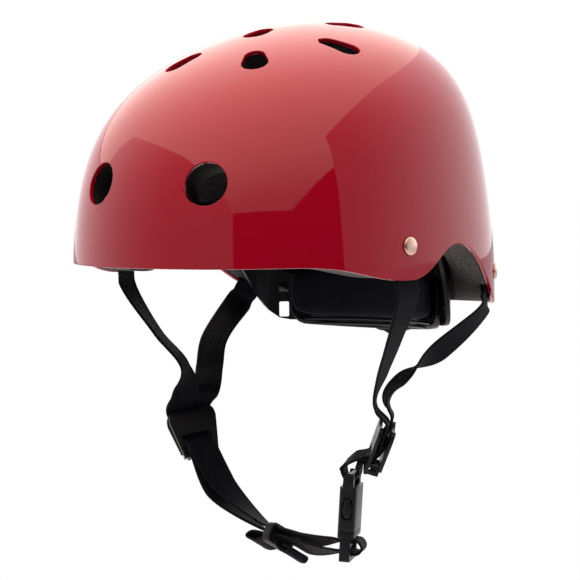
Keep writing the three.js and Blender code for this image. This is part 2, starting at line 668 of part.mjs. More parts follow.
const barAcross = (y) => turned(
  [[0, 0], [BAR_RADIUS, 0], [BAR_RADIUS, BUCKLE_WIDTH - CHEEK], [0, BUCKLE_WIDTH - CHEEK]],
  frameAt(inFrame(buckleFrame, -(BUCKLE_WIDTH - CHEEK) / 2, y, 0), buckleUp, buckleFace), 12);

function buckleSocket() {
  const eye = BAR_EYE + 2 * BAR_RADIUS;
  const body = buckleBlock(BUCKLE_WIDTH, -eye, SOCKET_LENGTH - eye, BUCKLE_THICK, BUCKLE_CORNER);
  const cheeks = [-1, 1].map((side) => slab(CHEEK, eye + BUCKLE_WALL, CHEEK / 3, BUCKLE_THICK * 0.6,
    onBuckle(side * (BUCKLE_WIDTH - CHEEK) / 2, -(eye + BUCKLE_WALL) / 2, -BUCKLE_THICK * 0.3)));
  const roomWidth = BUCKLE_WIDTH - 2 * BUCKLE_WALL;
  const room = buckleBlock(roomWidth, -eye - BUCKLE_WALL, SOCKET_LENGTH,
    BUCKLE_THICK - 2 * BUCKLE_WALL, BUCKLE_WALL / 2);
  const windows = slab(BUCKLE_WIDTH + OVERRUN, BARB_REACH * 3.4, 1, BUCKLE_THICK - 2 * BUCKLE_WALL,
    onBuckle(0, PRONG_TOP + PRONG_REACH - 2.6 * BARB_REACH, -BUCKLE_THICK / 2 + BUCKLE_WALL));
  return joined(cut(body, room, windows), ...cheeks, barAcross(SOCKET_BAR_Y));
}

function bucklePlug() {
  const body = buckleBlock(BUCKLE_WIDTH, PRONG_TOP, PRONG_SOLID, BUCKLE_THICK, BUCKLE_CORNER);
  const cheeks = [-1, 1].map((side) => slab(CHEEK, PRONG_BASE_LENGTH, CHEEK / 3, BUCKLE_THICK * 0.6,
    onBuckle(side * (BUCKLE_WIDTH - CHEEK) / 2, PRONG_TOP - PRONG_BASE_LENGTH / 2, -BUCKLE_THICK * 0.3)));
  const lip = slab(BUCKLE_WIDTH - CHEEK, PRONG_LIP, PRONG_LIP / 3, BUCKLE_THICK * 0.6, onBuckle(
    0, PRONG_TOP - PRONG_BASE_LENGTH + PRONG_LIP / 2, -BUCKLE_THICK * 0.3));
  const thick = BUCKLE_THICK - 2 * BUCKLE_WALL - 2 * SEAT;
  const guide = slab(GUIDE_WIDTH, PRONG_REACH, SEAT * 3, thick, onBuckle(
    0, PRONG_TOP + PRONG_REACH / 2 - SEAT, -thick / 2));
  return joined(body, guide, lip, ...cheeks, barAcross(PRONG_BAR_Y));
}

function springArm(side) {
  const thick = BUCKLE_THICK - 2 * BUCKLE_WALL - 2 * SEAT;
  const outer = BUCKLE_WIDTH / 2 - BUCKLE_WALL - SEAT;
  const foot = PRONG_TOP + SEAT;
  const tip = PRONG_TOP + PRONG_REACH - BARB_REACH;
  const shape = new THREE.Shape();
  shape.moveTo(outer - ARM_WIDTH, foot);
  shape.lineTo(outer, foot);
  shape.lineTo(outer, tip - 3 * BARB_REACH + SEAT);
  shape.lineTo(outer + BARB_REACH, tip - 2.6 * BARB_REACH);
  shape.quadraticCurveTo(outer + BARB_REACH, tip - BARB_REACH, outer - ARM_WIDTH / 2, tip);
  shape.lineTo(outer - ARM_WIDTH, tip);
  const arm = prism(shape, thick, shifted(0, 0, -thick / 2), 4);
  return (side > 0 ? arm : mirrored(arm)).transform(buckleFrame.elements);
}

// Keeper: local X along the chin towards the buckle, Y to the rear, Z towards the chin
const chinRun = vec(1, -0.13, 0.03).normalize();
const keeperFrame = frameAt(vec(KEEPER.x, KEEPER.y, KEEPER.z), chinRun,
  vec(0, Math.cos(CHIN_TILT), -Math.sin(CHIN_TILT)));
const inKeeper = (x, layer) => ({
  at: inFrame(keeperFrame, x, 0, layer * LAYER_PITCH),
  across: vec(0, 1, 0).transformDirection(keeperFrame),
});

function keeper() {
  const height = KEEPER_LAYERS * LAYER_PITCH + 2 * SEAT;
  const width = WEB_WIDTH + 4 * SEAT;
  const outline = roundedShape(width + 2 * KEEPER_WALL, height + 2 * KEEPER_WALL, 2 * KEEPER_WALL);
  outline.holes.push(roundedShape(width, height, KEEPER_WALL / 2));
  const frame = frameAt(inFrame(keeperFrame, -KEEPER_LENGTH / 2, 0, 0),
    vec(0, 1, 0).transformDirection(keeperFrame), vec(0, 0, 1).transformDirection(keeperFrame));
  return prism(outline, KEEPER_LENGTH, frame, 3);
}

// Around a bar of the buckle, in the plane square to it
const roundBar = (barY, degrees) => degrees.map((degree) => {
  const a = THREE.MathUtils.degToRad(degree);
  return station(buckleFrame, 0, barY + WRAP * Math.sin(a), WRAP * Math.cos(a));
});

const frontRun = throughDivider(-1);
const rearRun = throughDivider(1);
const FALL = 0.06 * DIVIDER.z; // how far a slack run sags
const sag = vec(0, 0, FALL / 3);

// Slack runs from the wall to a divider, each with its width turned its own way
const slackRun = (side, wall, run, inward, forward, widths) => SLACK_SHARES.map((share, i) => {
  const { at } = between(wall.at(-1), run[0], share, vec(-inward[i], -forward[i], FALL / 3));
  return { at: vec(side * at.x, at.y, at.z), across: vec(...widths[i]) };
});
const leftFrontSlack = slackRun(1, frontOnWall, frontRun, FRONT_BOW.left, FRONT_BOW.forward,
  [[-0.08, 0.93, 0.05], [-0.25, 0.89, 0.09]]);
const rightFrontSlack = slackRun(-1, frontOnWall, frontRun, FRONT_BOW.right, FRONT_BOW.forward,
  [[-0.4, 0.9, 0], [-0.4, 0.9, 0.05]]);
const leftRearSlack = slackRun(1, rearOnWall, rearRun, REAR_BOW.left, REAR_BOW.leftForward,
  [[-0.41, 0.66, -0.63], [-0.9, 0.42, 0]]);
const rightRearSlack = slackRun(-1, rearOnWall, rearRun, REAR_BOW.right, REAR_BOW.rightForward,
  [[0.75, 0.66, 0], [0.75, 0.66, 0]]);

const leftWebbing = [
  ...frontOnWall,
  ...leftFrontSlack,
  ...frontRun,
  station(buckleFrame, 0, WRAP, -BUCKLE_THICK / 2),
  station(buckleFrame, 0, SOCKET_BAR_Y, -1.4 * WRAP),
  ...roundBar(SOCKET_BAR_Y, [215, 270, 325]),
  station(buckleFrame, 0, WRAP / 2, 1.3 * WRAP),
  ...[...rearRun].reverse(),
  ...[...leftRearSlack].reverse(),
  ...[...rearOnWall].reverse(),
];

// The right webbing's front half goes on under the chin, round the plug's bar and back as a tail
const slackSpan = KEEPER_LENGTH * 3;
function underJaw(exit, layer, spread, bow) {
  return [
    between(flipped(exit), inKeeper(-slackSpan, layer + 1), 0.45, bow),
    inKeeper(-slackSpan * 0.6, layer + spread),
    inKeeper(-KEEPER_LENGTH / 2, layer),
  ];
}

const toPlug = (layer, rise) => [
  between(inKeeper(KEEPER_LENGTH, layer), station(buckleFrame, 0, PRONG_BAR_Y + rise, -4 * WRAP), 0.5, sag),
  station(buckleFrame, 0, PRONG_BAR_Y + rise * 1.1, -2.4 * WRAP),
];
const chinWebbing = [
  ...frontOnWall.map(flipped),
  ...rightFrontSlack,
  ...frontRun.map(flipped),
  ...underJaw(frontRun.at(-1), 1.5, 1, vec(FALL / 2, 0, FALL / 3)),
  inKeeper(KEEPER_LENGTH, 1.5),
  ...toPlug(1.5, WRAP),
  station(buckleFrame, 0, PRONG_BAR_Y + WRAP, 0),
  station(buckleFrame, 0, PRONG_BAR_Y + WRAP * 1.2, 2.2 * WRAP),
  station(buckleFrame, 0, PRONG_BAR_Y, 3 * WRAP),
  station(buckleFrame, 0, PRONG_BAR_Y - WRAP * 1.2, 2.2 * WRAP),
  station(buckleFrame, 0, PRONG_BAR_Y - WRAP, 0),
  ...toPlug(-0.5, -WRAP).reverse(),
  inKeeper(KEEPER_LENGTH, -0.5),
  inKeeper(-KEEPER_LENGTH / 2, -0.5),
  inKeeper(-slackSpan, -0.3),
  inKeeper(-slackSpan * 1.15, -1.6),
  inKeeper(-slackSpan * 0.7, -2.6),
  inKeeper(-KEEPER_LENGTH / 2, -1.5),
  inKeeper(KEEPER_LENGTH / 2, -1.6),
  inKeeper(slackSpan * 0.75, -4.8),
  inKeeper(slackSpan * 1.2, -5.4),
  inKeeper(slackSpan * 1.25, -4.2),
  inKeeper(slackSpan * 0.8, -3.2),
];

// The right webbing's rear half ends in the keeper, under the chin webbing
const rightRearWebbing = [
  ...rearOnWall.map(flipped),
  ...rightRearSlack,
  ...rearRun.map(flipped),
  ...underJaw(rearRun.at(-1), 0.5, 0.55, vec(FALL / 2 - 3 * LAYER, 0, FALL / 3 - 3 * LAYER)),
  inKeeper(KEEPER_LENGTH * 0.6, 0.5),
];

function webbing(stations, steps, holes) {
  return cut(ribbon(stations, steps, WEB_WIDTH, WEB_THICK), ...holes);
}

// Rear cradle
const cradleCentreY = CRADLE_BACK_Y - CRADLE_RADIUS;
const polar = (s, offset) => {
  const a = s / CRADLE_RADIUS;
  return [(CRADLE_RADIUS + offset) * Math.sin(a), cradleCentreY + (CRADLE_RADIUS + offset) * Math.cos(a)];
};

// A band from s = -half to half, between two offsets, with rounded ends
function band(half, inner, outer, low, high, corner, steps = 22) {
  const rings = [];
  for (let i = 0; i <= steps; i += 1) {
    const s = -half * Math.cos((i / steps) * Math.PI);
    const over = Math.max(0, (Math.abs(s) - half + corner) / corner);
    const round = corner * (1 - Math.sqrt(Math.max(0, 1 - (0.995 * over) ** 2)));
    const foot = low + FRAME_END_LIFT * (s / FRAME_HALF_LENGTH) ** 2 + round;
    const top = high - round;
    const [xi, yi] = polar(s, inner);
    const [xo, yo] = polar(s, outer);
    rings.push([vec(xi, yi, foot), vec(xo, yo, foot), vec(xo, yo, top), vec(xi, yi, top)]);
  }
  return loft(rings);
}

const FRAME_FACE = FRAME_THICK / 2;
const ARM_FACE = FRAME_FACE + ARM_GAP;
const COVER_FACE = ARM_FACE + ARM_THICK + ARM_GAP;
const KNOB_FACE = COVER_FACE + COVER_THICK + ARM_GAP;
const SHAFT_IN_KNOB = 0.6 * KNOB_DEPTH;

// The cradle's plate with its lower rail, as one band of L-shaped sections
function cradleFrame() {
  const rings = [];
  const steps = 24;
  const corner = PAD_RAIL;
  for (let i = 0; i <= steps; i += 1) {
    const s = -FRAME_HALF_LENGTH * Math.cos((i / steps) * Math.PI);
    const over = Math.max(0, (Math.abs(s) - FRAME_HALF_LENGTH + corner) / corner);
    const round = corner * (1 - Math.sqrt(Math.max(0, 1 - (0.995 * over) ** 2)));
    const foot = FRAME_FOOT + FRAME_END_LIFT * (s / FRAME_HALF_LENGTH) ** 2 + round;
    const top = FRAME_TOP - round;
    const ledge = -FRAME_FACE - (FRAME_THICK / 2) * (1 - 0.75 * over);
    const section = [
      [ledge, foot], [FRAME_FACE, foot], [FRAME_FACE, top],
      [-FRAME_FACE, top], [-FRAME_FACE, foot + FRAME_THICK], [ledge, foot + FRAME_THICK],
    ];
    rings.push(section.map(([offset, z]) => {
      const [x, y] = polar(s, offset);
      return vec(x, y, z);
    }));
  }
  return loft(rings);
}

function cradlePad() {
  const rings = [];
  const steps = 20;
  const low = FRAME_FOOT + PAD_RAIL;
  const high = FRAME_TOP - PAD_MARGIN / 2;
  for (let i = 0; i <= steps; i += 1) {
    const s = -PAD_HALF_LENGTH * Math.cos((i / steps) * Math.PI);
    const end = Math.sqrt(Math.max(0, 1 - (0.985 * s / PAD_HALF_LENGTH) ** 10));
    const middle = (low + high) / 2 + (FRAME_END_LIFT / 2) * (s / FRAME_HALF_LENGTH) ** 2;
    const half = ((high - low) / 2) * (0.7 + 0.3 * end);
    const back = -FRAME_FACE - SEAT;
    const ring = [-1, 1].map((v) => [v * half, back]);
    for (const v of [1, 0.8, 0.4, 0, -0.4, -0.8, -1]) {
      ring.push([v * half, back - PAD_THICK * (0.25 + 0.75 * end * (1 - v ** 4))]);
    }
    rings.push(ring.map(([z, offset]) => {
      const [x, y] = polar(s, offset);
      return vec(x, y, middle + z);
    }));
  }
  return loft(rings);
}

function cradleCover() {
  const block = band(COVER_HALF_LENGTH, FRAME_FACE + SEAT, COVER_FACE + COVER_THICK, FRAME_FOOT, FRAME_TOP,
    COVER_LIP, 14);
  const room = band(COVER_HALF_LENGTH + OVERRUN, FRAME_FACE, COVER_FACE, FRAME_FOOT + COVER_LIP,
    FRAME_TOP - COVER_LIP, COVER_LIP, 18);
  const hole = turnedY(SHAFT_RADIUS + SEAT, COVER_FACE - COVER_THICK / 2, 2 * COVER_THICK);
  return cut(block, room, hole);
}

// A round bar along Y on the dial's axis, from an offset behind the cradle's middle
function turnedY(radius, from, length, segments = 20) {
  const frame = frameAt(vec(0, CRADLE_BACK_Y + from, DIAL_Z), vec(1, 0, 0), vec(0, 0, -1));
  return turned([[0, 0], [radius, 0], [radius, length], [0, length]], frame, segments);
}

// The pinion: involute teeth, a gap facing straight up and straight down
const PITCH_RADIUS = (PINION_TEETH * TOOTH_MODULE) / 2;
const ADDENDUM = 0.85 * TOOTH_MODULE;
const DEDENDUM = 1.2 * TOOTH_MODULE;
const PITCH = Math.PI * TOOTH_MODULE;

function pinion() {
  const base = PITCH_RADIUS * Math.cos(PRESSURE_ANGLE);
  const inv = (a) => Math.tan(a) - a;
  const halfAt = (radius) => Math.PI / (2 * PINION_TEETH) - BACKLASH / (4 * PITCH_RADIUS)
    + inv(PRESSURE_ANGLE) - inv(Math.acos(Math.min(1, base / radius)));
  const shape = new THREE.Shape();
  for (let tooth = 0; tooth < PINION_TEETH; tooth += 1) {
    const middle = Math.PI / 2 + ((tooth + 0.5) * 2 * Math.PI) / PINION_TEETH;
    const radii = [base, PITCH_RADIUS, PITCH_RADIUS + ADDENDUM / 2, PITCH_RADIUS + ADDENDUM];
    const root = PITCH_RADIUS - DEDENDUM;
    const flank = [[root, halfAt(base)], ...radii.map((r) => [r, halfAt(r)])];
    for (const [radius, half] of flank) line(shape, radius, middle - half);
    for (const [radius, half] of [...flank].reverse()) line(shape, radius, middle + half);
  }
  const frame = frameAt(vec(0, CRADLE_BACK_Y + ARM_FACE + SEAT / 2, DIAL_Z), vec(1, 0, 0), vec(0, 0, -1));
  const wheel = prism(shape, ARM_THICK - SEAT, frame);
  const shaftFrom = ARM_FACE + ARM_THICK / 2;
  return wheel.add(turnedY(SHAFT_RADIUS, shaftFrom, KNOB_FACE + SHAFT_IN_KNOB - shaftFrom));
}

function line(shape, radius, angle) {
  const x = radius * Math.cos(angle);
  const y = radius * Math.sin(angle);
  if (shape.curves.length || shape.currentPoint.lengthSq()) shape.lineTo(x, y);
  else shape.moveTo(x, y);
}

function dialKnob() {
  const from = KNOB_FACE;
  const bevel = KNOB_LOBE_DEPTH;
  const shape = new THREE.Shape();
  const count = KNOB_LOBES * 5;
  for (let i = 0; i < count; i += 1) {
    const a = (i / count) * 2 * Math.PI;
    line(shape, KNOB_RADIUS - bevel - (KNOB_LOBE_DEPTH * (1 - Math.cos(KNOB_LOBES * a))) / 2, a);
  }
  const frame = frameAt(vec(0, CRADLE_BACK_Y + from + bevel, DIAL_Z), vec(1, 0, 0), vec(0, 0, -1));
  const body = moved(new THREE.ExtrudeGeometry(shape, {
    depth: KNOB_DEPTH - 2 * bevel, bevelSize: bevel, bevelThickness: bevel, bevelSegments: 1, steps: 1,
  }), frame);
  const dish = turnedY(KNOB_RADIUS * 0.62, from + KNOB_DEPTH - KNOB_LOBE_DEPTH, KNOB_DEPTH, 28);
  const grip = slab(KNOB_RADIUS * 0.36, KNOB_RADIUS * 1.7, KNOB_RADIUS * 0.17, KNOB_DEPTH, frame);
  const socket = turnedY(SHAFT_RADIUS + SEAT, from - SEAT, SHAFT_IN_KNOB + 2 * SEAT);
  return cut(cut(body, dish).add(grip.intersect(body)), socket);
}

// Side arms: a toothed strip behind the frame, a windowed hand, and an arm that rises to its stud
const ARM_MIDDLE = ARM_FACE + ARM_THICK / 2;
const anchorWall = wallPoint(ANCHOR.y, ANCHOR.z, CAVITY_FACE).x;
const anchorX = anchorWall - ANCHOR.inset;
const handEnd = new THREE.Vector2(...polar(HAND_BEND, ARM_MIDDLE));
const handTurn = HAND_BEND / CRADLE_RADIUS;
const armReach = handEnd.distanceTo(new THREE.Vector2(anchorX, ANCHOR.y));
const armBend = new THREE.CubicBezierCurve(
  handEnd,
  new THREE.Vector2(Math.cos(handTurn), -Math.sin(handTurn)).multiplyScalar(0.28 * armReach).add(handEnd),
  new THREE.Vector2(anchorX, ANCHOR.y + 0.22 * armReach),
  new THREE.Vector2(anchorX, ANCHOR.y),
);
const eyeletAt = HAND_BEND + armBend.getLength();

// Plan position and outward normal along the arm
function armPlan(s) {
  if (s <= HAND_BEND) {
    const a = s / CRADLE_RADIUS;
    return { at: new THREE.Vector2(...polar(s, ARM_MIDDLE)), out: new THREE.Vector2(Math.sin(a), Math.cos(a)) };
  }
  if (s >= eyeletAt) {
    return { at: new THREE.Vector2(anchorX, ANCHOR.y - (s - eyeletAt)), out: new THREE.Vector2(1, 0) };
  }
  const t = (s - HAND_BEND) / (eyeletAt - HAND_BEND);
  const run = armBend.getTangentAt(t);
  return { at: armBend.getPointAt(t), out: new THREE.Vector2(-run.y, run.x) };
}

// Edges of the arm: share of the way from the hand to the eyelet, then shares of the whole rise
const ARM_FOOT = FRAME_FOOT + HAND_FOOT;
const ARM_EDGE_SHARES = [
  [0, 0, 0.38], [0.24, 0, 0.4], [0.35, 0.02, 0.46], [0.47, 0.1, 0.54],
  [0.58, 0.23, 0.64], [0.72, 0.45, 0.8], [0.86, 0.63, 0.93], [1, 0.744, 1],
];

function armEdge(s, column) {
  const rise = ANCHOR.z + EYELET_RADIUS - ARM_FOOT;
  const t = (s - HAND_START) / (eyeletAt - HAND_START);
  const i = Math.max(1, ARM_EDGE_SHARES.findIndex(([share]) => share >= t - 1e-9));
  const from = ARM_EDGE_SHARES[i - 1];
  const to = ARM_EDGE_SHARES[i];
  const ease = (t - from[0]) / (to[0] - from[0]);
  return ARM_FOOT + rise * (from[column] + (to[column] - from[column]) * ease);
}

function sideArm(rackSide) {
  const rings = [];
  const section = (s, low, high) => {
    const { at, out } = armPlan(s);
    const half = ARM_THICK / 2;
    rings.push([[-half, low], [half, low], [half, high], [-half, high]].map(([w, z]) => (
      vec(at.x + out.x * w, at.y + out.y * w, z))));
  };
  for (let i = 0; i <= 20; i += 1) {
    const s = HAND_START + ((eyeletAt - HAND_START) * i) / 20;
    section(s, armEdge(s, 1), armEdge(s, 2));
  }
  for (const a of [25, 50, 70, 85]) {
    const turn = THREE.MathUtils.degToRad(a);
    const high = EYELET_RADIUS * Math.cos(turn);
    section(eyeletAt + EYELET_RADIUS * Math.sin(turn), ANCHOR.z - high, ANCHOR.z + high);
  }
  const hand = loft(rings);
  const root = PITCH_RADIUS + DEDENDUM;
  const low = rackSide > 0 ? DIAL_Z + root : DIAL_Z - root - RACK_BACKING;
  const teethFrom = -3;
  const teethTo = teethFrom + RACK_TEETH - 4;
  const strip = stripAlong((teethFrom - 0.6) * PITCH, HAND_START + 2, low, low + RACK_BACKING);
  const teeth = [];
  for (let k = teethFrom; k <= teethTo; k += 1) teeth.push(rackTooth(k, rackSide));
  const windowFrame = (s, z) => {
    const { at, out } = armPlan(s);
    return frameAt(vec(at.x + out.x * ARM_THICK * 2, at.y + out.y * ARM_THICK * 2, z), vec(out.y, -out.x, 0), vec(0, 0, 1));
  };
  const { at: windowAt, length, tab, upper, lower } = HAND_WINDOW;
  const windows = [[upper, tab + lower + upper / 2], [lower, lower / 2]].map(([height, rise]) => slab(
    length, height, SEAT * 3, ARM_THICK * 4, windowFrame(windowAt, DIAL_Z - lower / 2 - tab / 2 + rise - tab / 2)));
  const eyelet = turned([
    [0, -OVERRUN], [EYELET_BORE, -OVERRUN], [EYELET_BORE, OVERRUN], [0, OVERRUN],
  ], frameAt(vec(anchorX, ANCHOR.y, ANCHOR.z), vec(0, 1, 0), vec(0, 0, 1)), 16);
  return cut(joined(hand, strip, ...teeth), ...windows, eyelet);
}

// A strip along the arm's path between two heights
function stripAlong(from, to, low, high) {
  const rings = [];
  const steps = 10;
  const half = ARM_THICK / 2;
  for (let i = 0; i <= steps; i += 1) {
    const { at, out } = armPlan(from + ((to - from) * i) / steps);
    rings.push([[-half, low], [half, low], [half, high], [-half, high]].map(([w, z]) => (
      vec(at.x + out.x * w, at.y + out.y * w, z))));
  }
  return loft(rings);
}

function rackTooth(k, rackSide) {
  const slope = Math.tan(PRESSURE_ANGLE);
  const half = PITCH / 4 - BACKLASH / 4;
  const root = half + slope * DEDENDUM;
  const tip = half - slope * ADDENDUM;
  const shape = new THREE.Shape();
  shape.moveTo(-root, DEDENDUM + SEAT);
  shape.lineTo(root, DEDENDUM + SEAT);
  shape.lineTo(root, DEDENDUM);
  shape.lineTo(tip, -ADDENDUM);
  shape.lineTo(-tip, -ADDENDUM);
  shape.lineTo(-root, DEDENDUM);
  const a = (k * PITCH) / (CRADLE_RADIUS + ARM_MIDDLE);
  const inner = CRADLE_RADIUS + ARM_FACE;
  const at = vec(inner * Math.sin(a), cradleCentreY + inner * Math.cos(a), DIAL_Z + rackSide * PITCH_RADIUS);
  const run = vec(rackSide * Math.cos(a), -rackSide * Math.sin(a), 0);
  const frame = frameAt(at, run, vec(0, 0, rackSide));
  const out = vec(Math.sin(a), Math.cos(a), 0);
  const z = vec(0, 0, 1).transformDirection(frame);
  const shift = z.dot(out) > 0 ? 0 : -ARM_THICK;
  return prism(shape, ARM_THICK, frame.multiply(shifted(0, 0, shift)));
}

// Studs that hold the arms' eyelets in the liner, along X
function studFrame(fromWall) {
  return frameAt(vec(anchorWall - fromWall, ANCHOR.y, ANCHOR.z), vec(0, -1, 0), vec(0, 0, 1));
}

function stud() {
  const neck = ANCHOR.inset + ARM_THICK / 2 + EYELET_SLIDE;
  const grip = STUD_GRIP - SEAT;
  return turned([
    [0, -neck - STUD_HEAD_THICK],
    [STUD_HEAD_RADIUS, -neck - STUD_HEAD_THICK],
    [STUD_HEAD_RADIUS, -neck],
    [STUD_RADIUS, -neck],
    [STUD_RADIUS, grip],
    [0, grip],
  ], frameAt(vec(anchorWall, ANCHOR.y, ANCHOR.z), vec(0, 1, 0), vec(0, 0, 1)), 16);
}

// Comfort pads on the liner's inner face
const padBacking = dome(CAVITY_FACE + SEAT, DEEP, FACETS.cavity);
function comfortPad(finder) {
  const rings = [];
  const steps = 12;
  const heights = [-1, -0.8, -0.4, 0, 0.4, 0.8, 1];
  for (let i = 0; i <= steps; i += 1) {
    const u = -Math.cos((i / steps) * Math.PI);
    const end = Math.sqrt(1 - (0.985 * Math.abs(u)) ** 8);
    const shrink = 0.6 + 0.4 * end;
    const back = heights.map((v) => finder(u, v * shrink, -SHELL_WALL));
    const front = [...heights].reverse().map((v) => (
      finder(u, v * shrink, COMFORT_THICK * (0.25 + 0.75 * end * (1 - v ** 4)))));
    rings.push([...back, ...front]);
  }
  return loft(rings).intersect(padBacking);
}

function wallPad({ turn, spread, low, high }) {
  const foot = CAVITY_FACE + SEAT;
  return comfortPad((u, v, depth) => domePoint(
    THREE.MathUtils.degToRad(turn + spread * u),
    riseAt((low + high) / 2 + (v * (high - low)) / 2, foot),
    foot + depth,
  ));
}

function crownPad() {
  const foot = CAVITY_FACE + SEAT;
  const { x, y, length, width } = CROWN_PAD;
  return comfortPad((u, v, depth) => crownPoint(x + (v * width) / 2, y + (u * length) / 2, foot + depth));
}

const SEAT_HEIGHT = crownPoint(0, 0, CAVITY_FACE + SEAT + COMFORT_THICK).z;

place('shell', 'shell', shell());
place('liner', 'foam', liner());
place('brow_pad', 'pad_fabric', wallPad(BROW_PAD));
place('crown_pad', 'pad_fabric', crownPad());
for (const [name, pad] of [['temple_pad', TEMPLE_PAD], ['nape_pad', NAPE_PAD]]) {
  const left = wallPad(pad);
  place(`left_${name}`, 'pad_fabric', left);
  place(`right_${name}`, 'pad_fabric', mirrored(left));
}
for (const [name, axis] of [['front', rivetAxes[0]], ['rear', rivetAxes[1]]]) {
  const pieces = [['rivet', 'rivet', rivet(axis)], ['washer', 'washer', washer(axis)]];
  for (const [kind, finish, left] of pieces) {
    place(`left_${name}_${kind}`, finish, left);
    place(`right_${name}_${kind}`, finish, mirrored(left));
  }
}

const rivetHoles = rivetAxes.map((axis) => bore(RIVET_SHANK_RADIUS + SEAT, STACK_DEPTH, axis));
place('left_webbing', 'webbing', webbing(leftWebbing, 130, rivetHoles));
place('chin_webbing', 'webbing', webbing(chinWebbing, 170, [mirrored(rivetHoles[0])]));
place('right_rear_webbing', 'webbing', webbing(rightRearWebbing, 60, [mirrored(rivetHoles[1])]));

const base = dividerBase();
const lever = dividerLever();
place('left_divider', 'satin_plastic', base);
place('right_divider', 'satin_plastic', mirrored(base));
place('left_divider_lever', 'satin_plastic', lever);
place('right_divider_lever', 'satin_plastic', mirrored(lever));
place('buckle_socket', 'satin_plastic', buckleSocket());
place('buckle_prong', 'satin_plastic', bucklePlug());
place('buckle_rear_arm', 'satin_plastic', springArm(1));
place('buckle_front_arm', 'satin_plastic', springArm(-1));
place('strap_keeper', 'rubber', keeper());

place('cradle_frame', 'gloss_plastic', cradleFrame());
place('cradle_pad', 'pad_fabric', cradlePad());
place('cradle_cover', 'satin_plastic', cradleCover());
place('left_arm', 'satin_plastic', sideArm(1));
place('right_arm', 'satin_plastic', mirrored(sideArm(-1)));
place('dial_pinion', 'satin_plastic', pinion());
place('dial_knob', 'rubber', dialKnob());
const leftStud = stud();
place('left_stud', 'satin_plastic', leftStud);
place('right_stud', 'satin_plastic', mirrored(leftStud));

for (const mesh of object.children) mesh.geometry.translate(0, 0, -SEAT_HEIGHT);

export default object;
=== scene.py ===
"""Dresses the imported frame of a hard-shell sport helmet: gloss shell, foam liner, pads, harness and cradle.

Everything is in metres in the part's own frame. Sizes on the form of the shell are in millimetres above its
brow rim, as they are on a drawing, and ShellForm turns them into the part's frame.
"""

import json
import logging
import math
from dataclasses import dataclass, field
from enum import Enum

import bpy
import numpy as np
from mathutils import Matrix, Vector

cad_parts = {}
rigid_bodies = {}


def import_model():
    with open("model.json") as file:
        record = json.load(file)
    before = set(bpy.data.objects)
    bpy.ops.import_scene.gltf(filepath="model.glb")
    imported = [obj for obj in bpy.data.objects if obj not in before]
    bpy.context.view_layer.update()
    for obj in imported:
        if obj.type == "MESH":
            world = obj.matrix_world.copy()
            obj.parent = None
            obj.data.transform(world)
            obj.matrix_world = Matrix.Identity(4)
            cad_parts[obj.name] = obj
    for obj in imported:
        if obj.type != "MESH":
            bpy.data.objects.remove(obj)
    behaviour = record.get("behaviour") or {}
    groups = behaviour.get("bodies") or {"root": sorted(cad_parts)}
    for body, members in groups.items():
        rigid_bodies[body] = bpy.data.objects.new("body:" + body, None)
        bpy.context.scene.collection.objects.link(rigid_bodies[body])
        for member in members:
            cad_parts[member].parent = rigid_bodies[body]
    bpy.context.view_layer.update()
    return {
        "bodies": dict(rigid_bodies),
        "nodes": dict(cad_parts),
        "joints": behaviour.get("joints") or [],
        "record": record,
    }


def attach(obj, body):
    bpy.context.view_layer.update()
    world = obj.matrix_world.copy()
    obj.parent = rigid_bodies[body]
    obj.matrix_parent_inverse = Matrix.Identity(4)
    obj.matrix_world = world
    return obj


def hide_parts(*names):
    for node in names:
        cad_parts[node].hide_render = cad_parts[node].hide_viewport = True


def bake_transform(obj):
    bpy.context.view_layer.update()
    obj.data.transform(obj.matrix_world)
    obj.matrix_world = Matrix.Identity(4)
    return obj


log = logging.getLogger("helmet")

MM = 0.001
CROWN_SEAT = 97.9             # crown pad's underside above the brow rim


# Working with objects


def only(obj: bpy.types.Object) -> bpy.types.Object:
    """Selects one object and makes it active."""
    if bpy.context.mode != "OBJECT":
        bpy.ops.object.mode_set(mode="OBJECT")
    bpy.ops.object.select_all(action="DESELECT")
    obj.select_set(True)
    bpy.context.view_layer.objects.active = obj
    return obj


def in_edit(obj: bpy.types.Object) -> None:
    """Opens an object in edit mode with everything selected."""
    only(obj)
    bpy.ops.object.mode_set(mode="EDIT")
    bpy.ops.mesh.select_all(action="SELECT")


def done() -> None:
    """Leaves edit mode."""
    bpy.ops.object.mode_set(mode="OBJECT")


def linked(name: str, mesh: bpy.types.Mesh) -> bpy.types.Object:
    """Makes an object for a mesh.

    Args:
        name: Name of the object and its mesh.
        mesh: The mesh.

    Returns:
        The object, in the scene's collection.
    """
    mesh.name = name
    obj = bpy.data.objects.new(name, mesh)
    bpy.context.scene.collection.objects.link(obj)
    return obj


def apply(obj: bpy.types.Object, kind: str, **settings: object) -> None:
    """Adds a modifier with its settings and applies it.

    Args:
        obj: The object that gets it.
        kind: Blender's modifier type.
        settings: The modifier's properties.
    """
    only(obj)
    modifier = obj.modifiers.new(kind.lower(), kind)
    for key, value in settings.items():
        setattr(modifier, key, value)
    bpy.ops.object.modifier_apply(modifier=modifier.name)


def coords(obj: bpy.types.Object) -> np.ndarray:
    """A mesh's points as an array of rows."""
    flat = np.empty(len(obj.data.vertices) * 3)
    obj.data.vertices.foreach_get("co", flat)
    return flat.reshape(-1, 3)


def set_coords(obj: bpy.types.Object, points: np.ndarray) -> None:
    """Moves a mesh's points."""
    obj.data.vertices.foreach_set("co", np.asarray(points, float).ravel())
    obj.data.update()


def merge(obj: bpy.types.Object, distance: float = 1e-6) -> None:
    """Merges points that lie together and turns all faces outwards."""
    in_edit(obj)
    bpy.ops.mesh.remove_doubles(threshold=distance)
    bpy.ops.mesh.normals_make_consistent(inside=False)
    done()


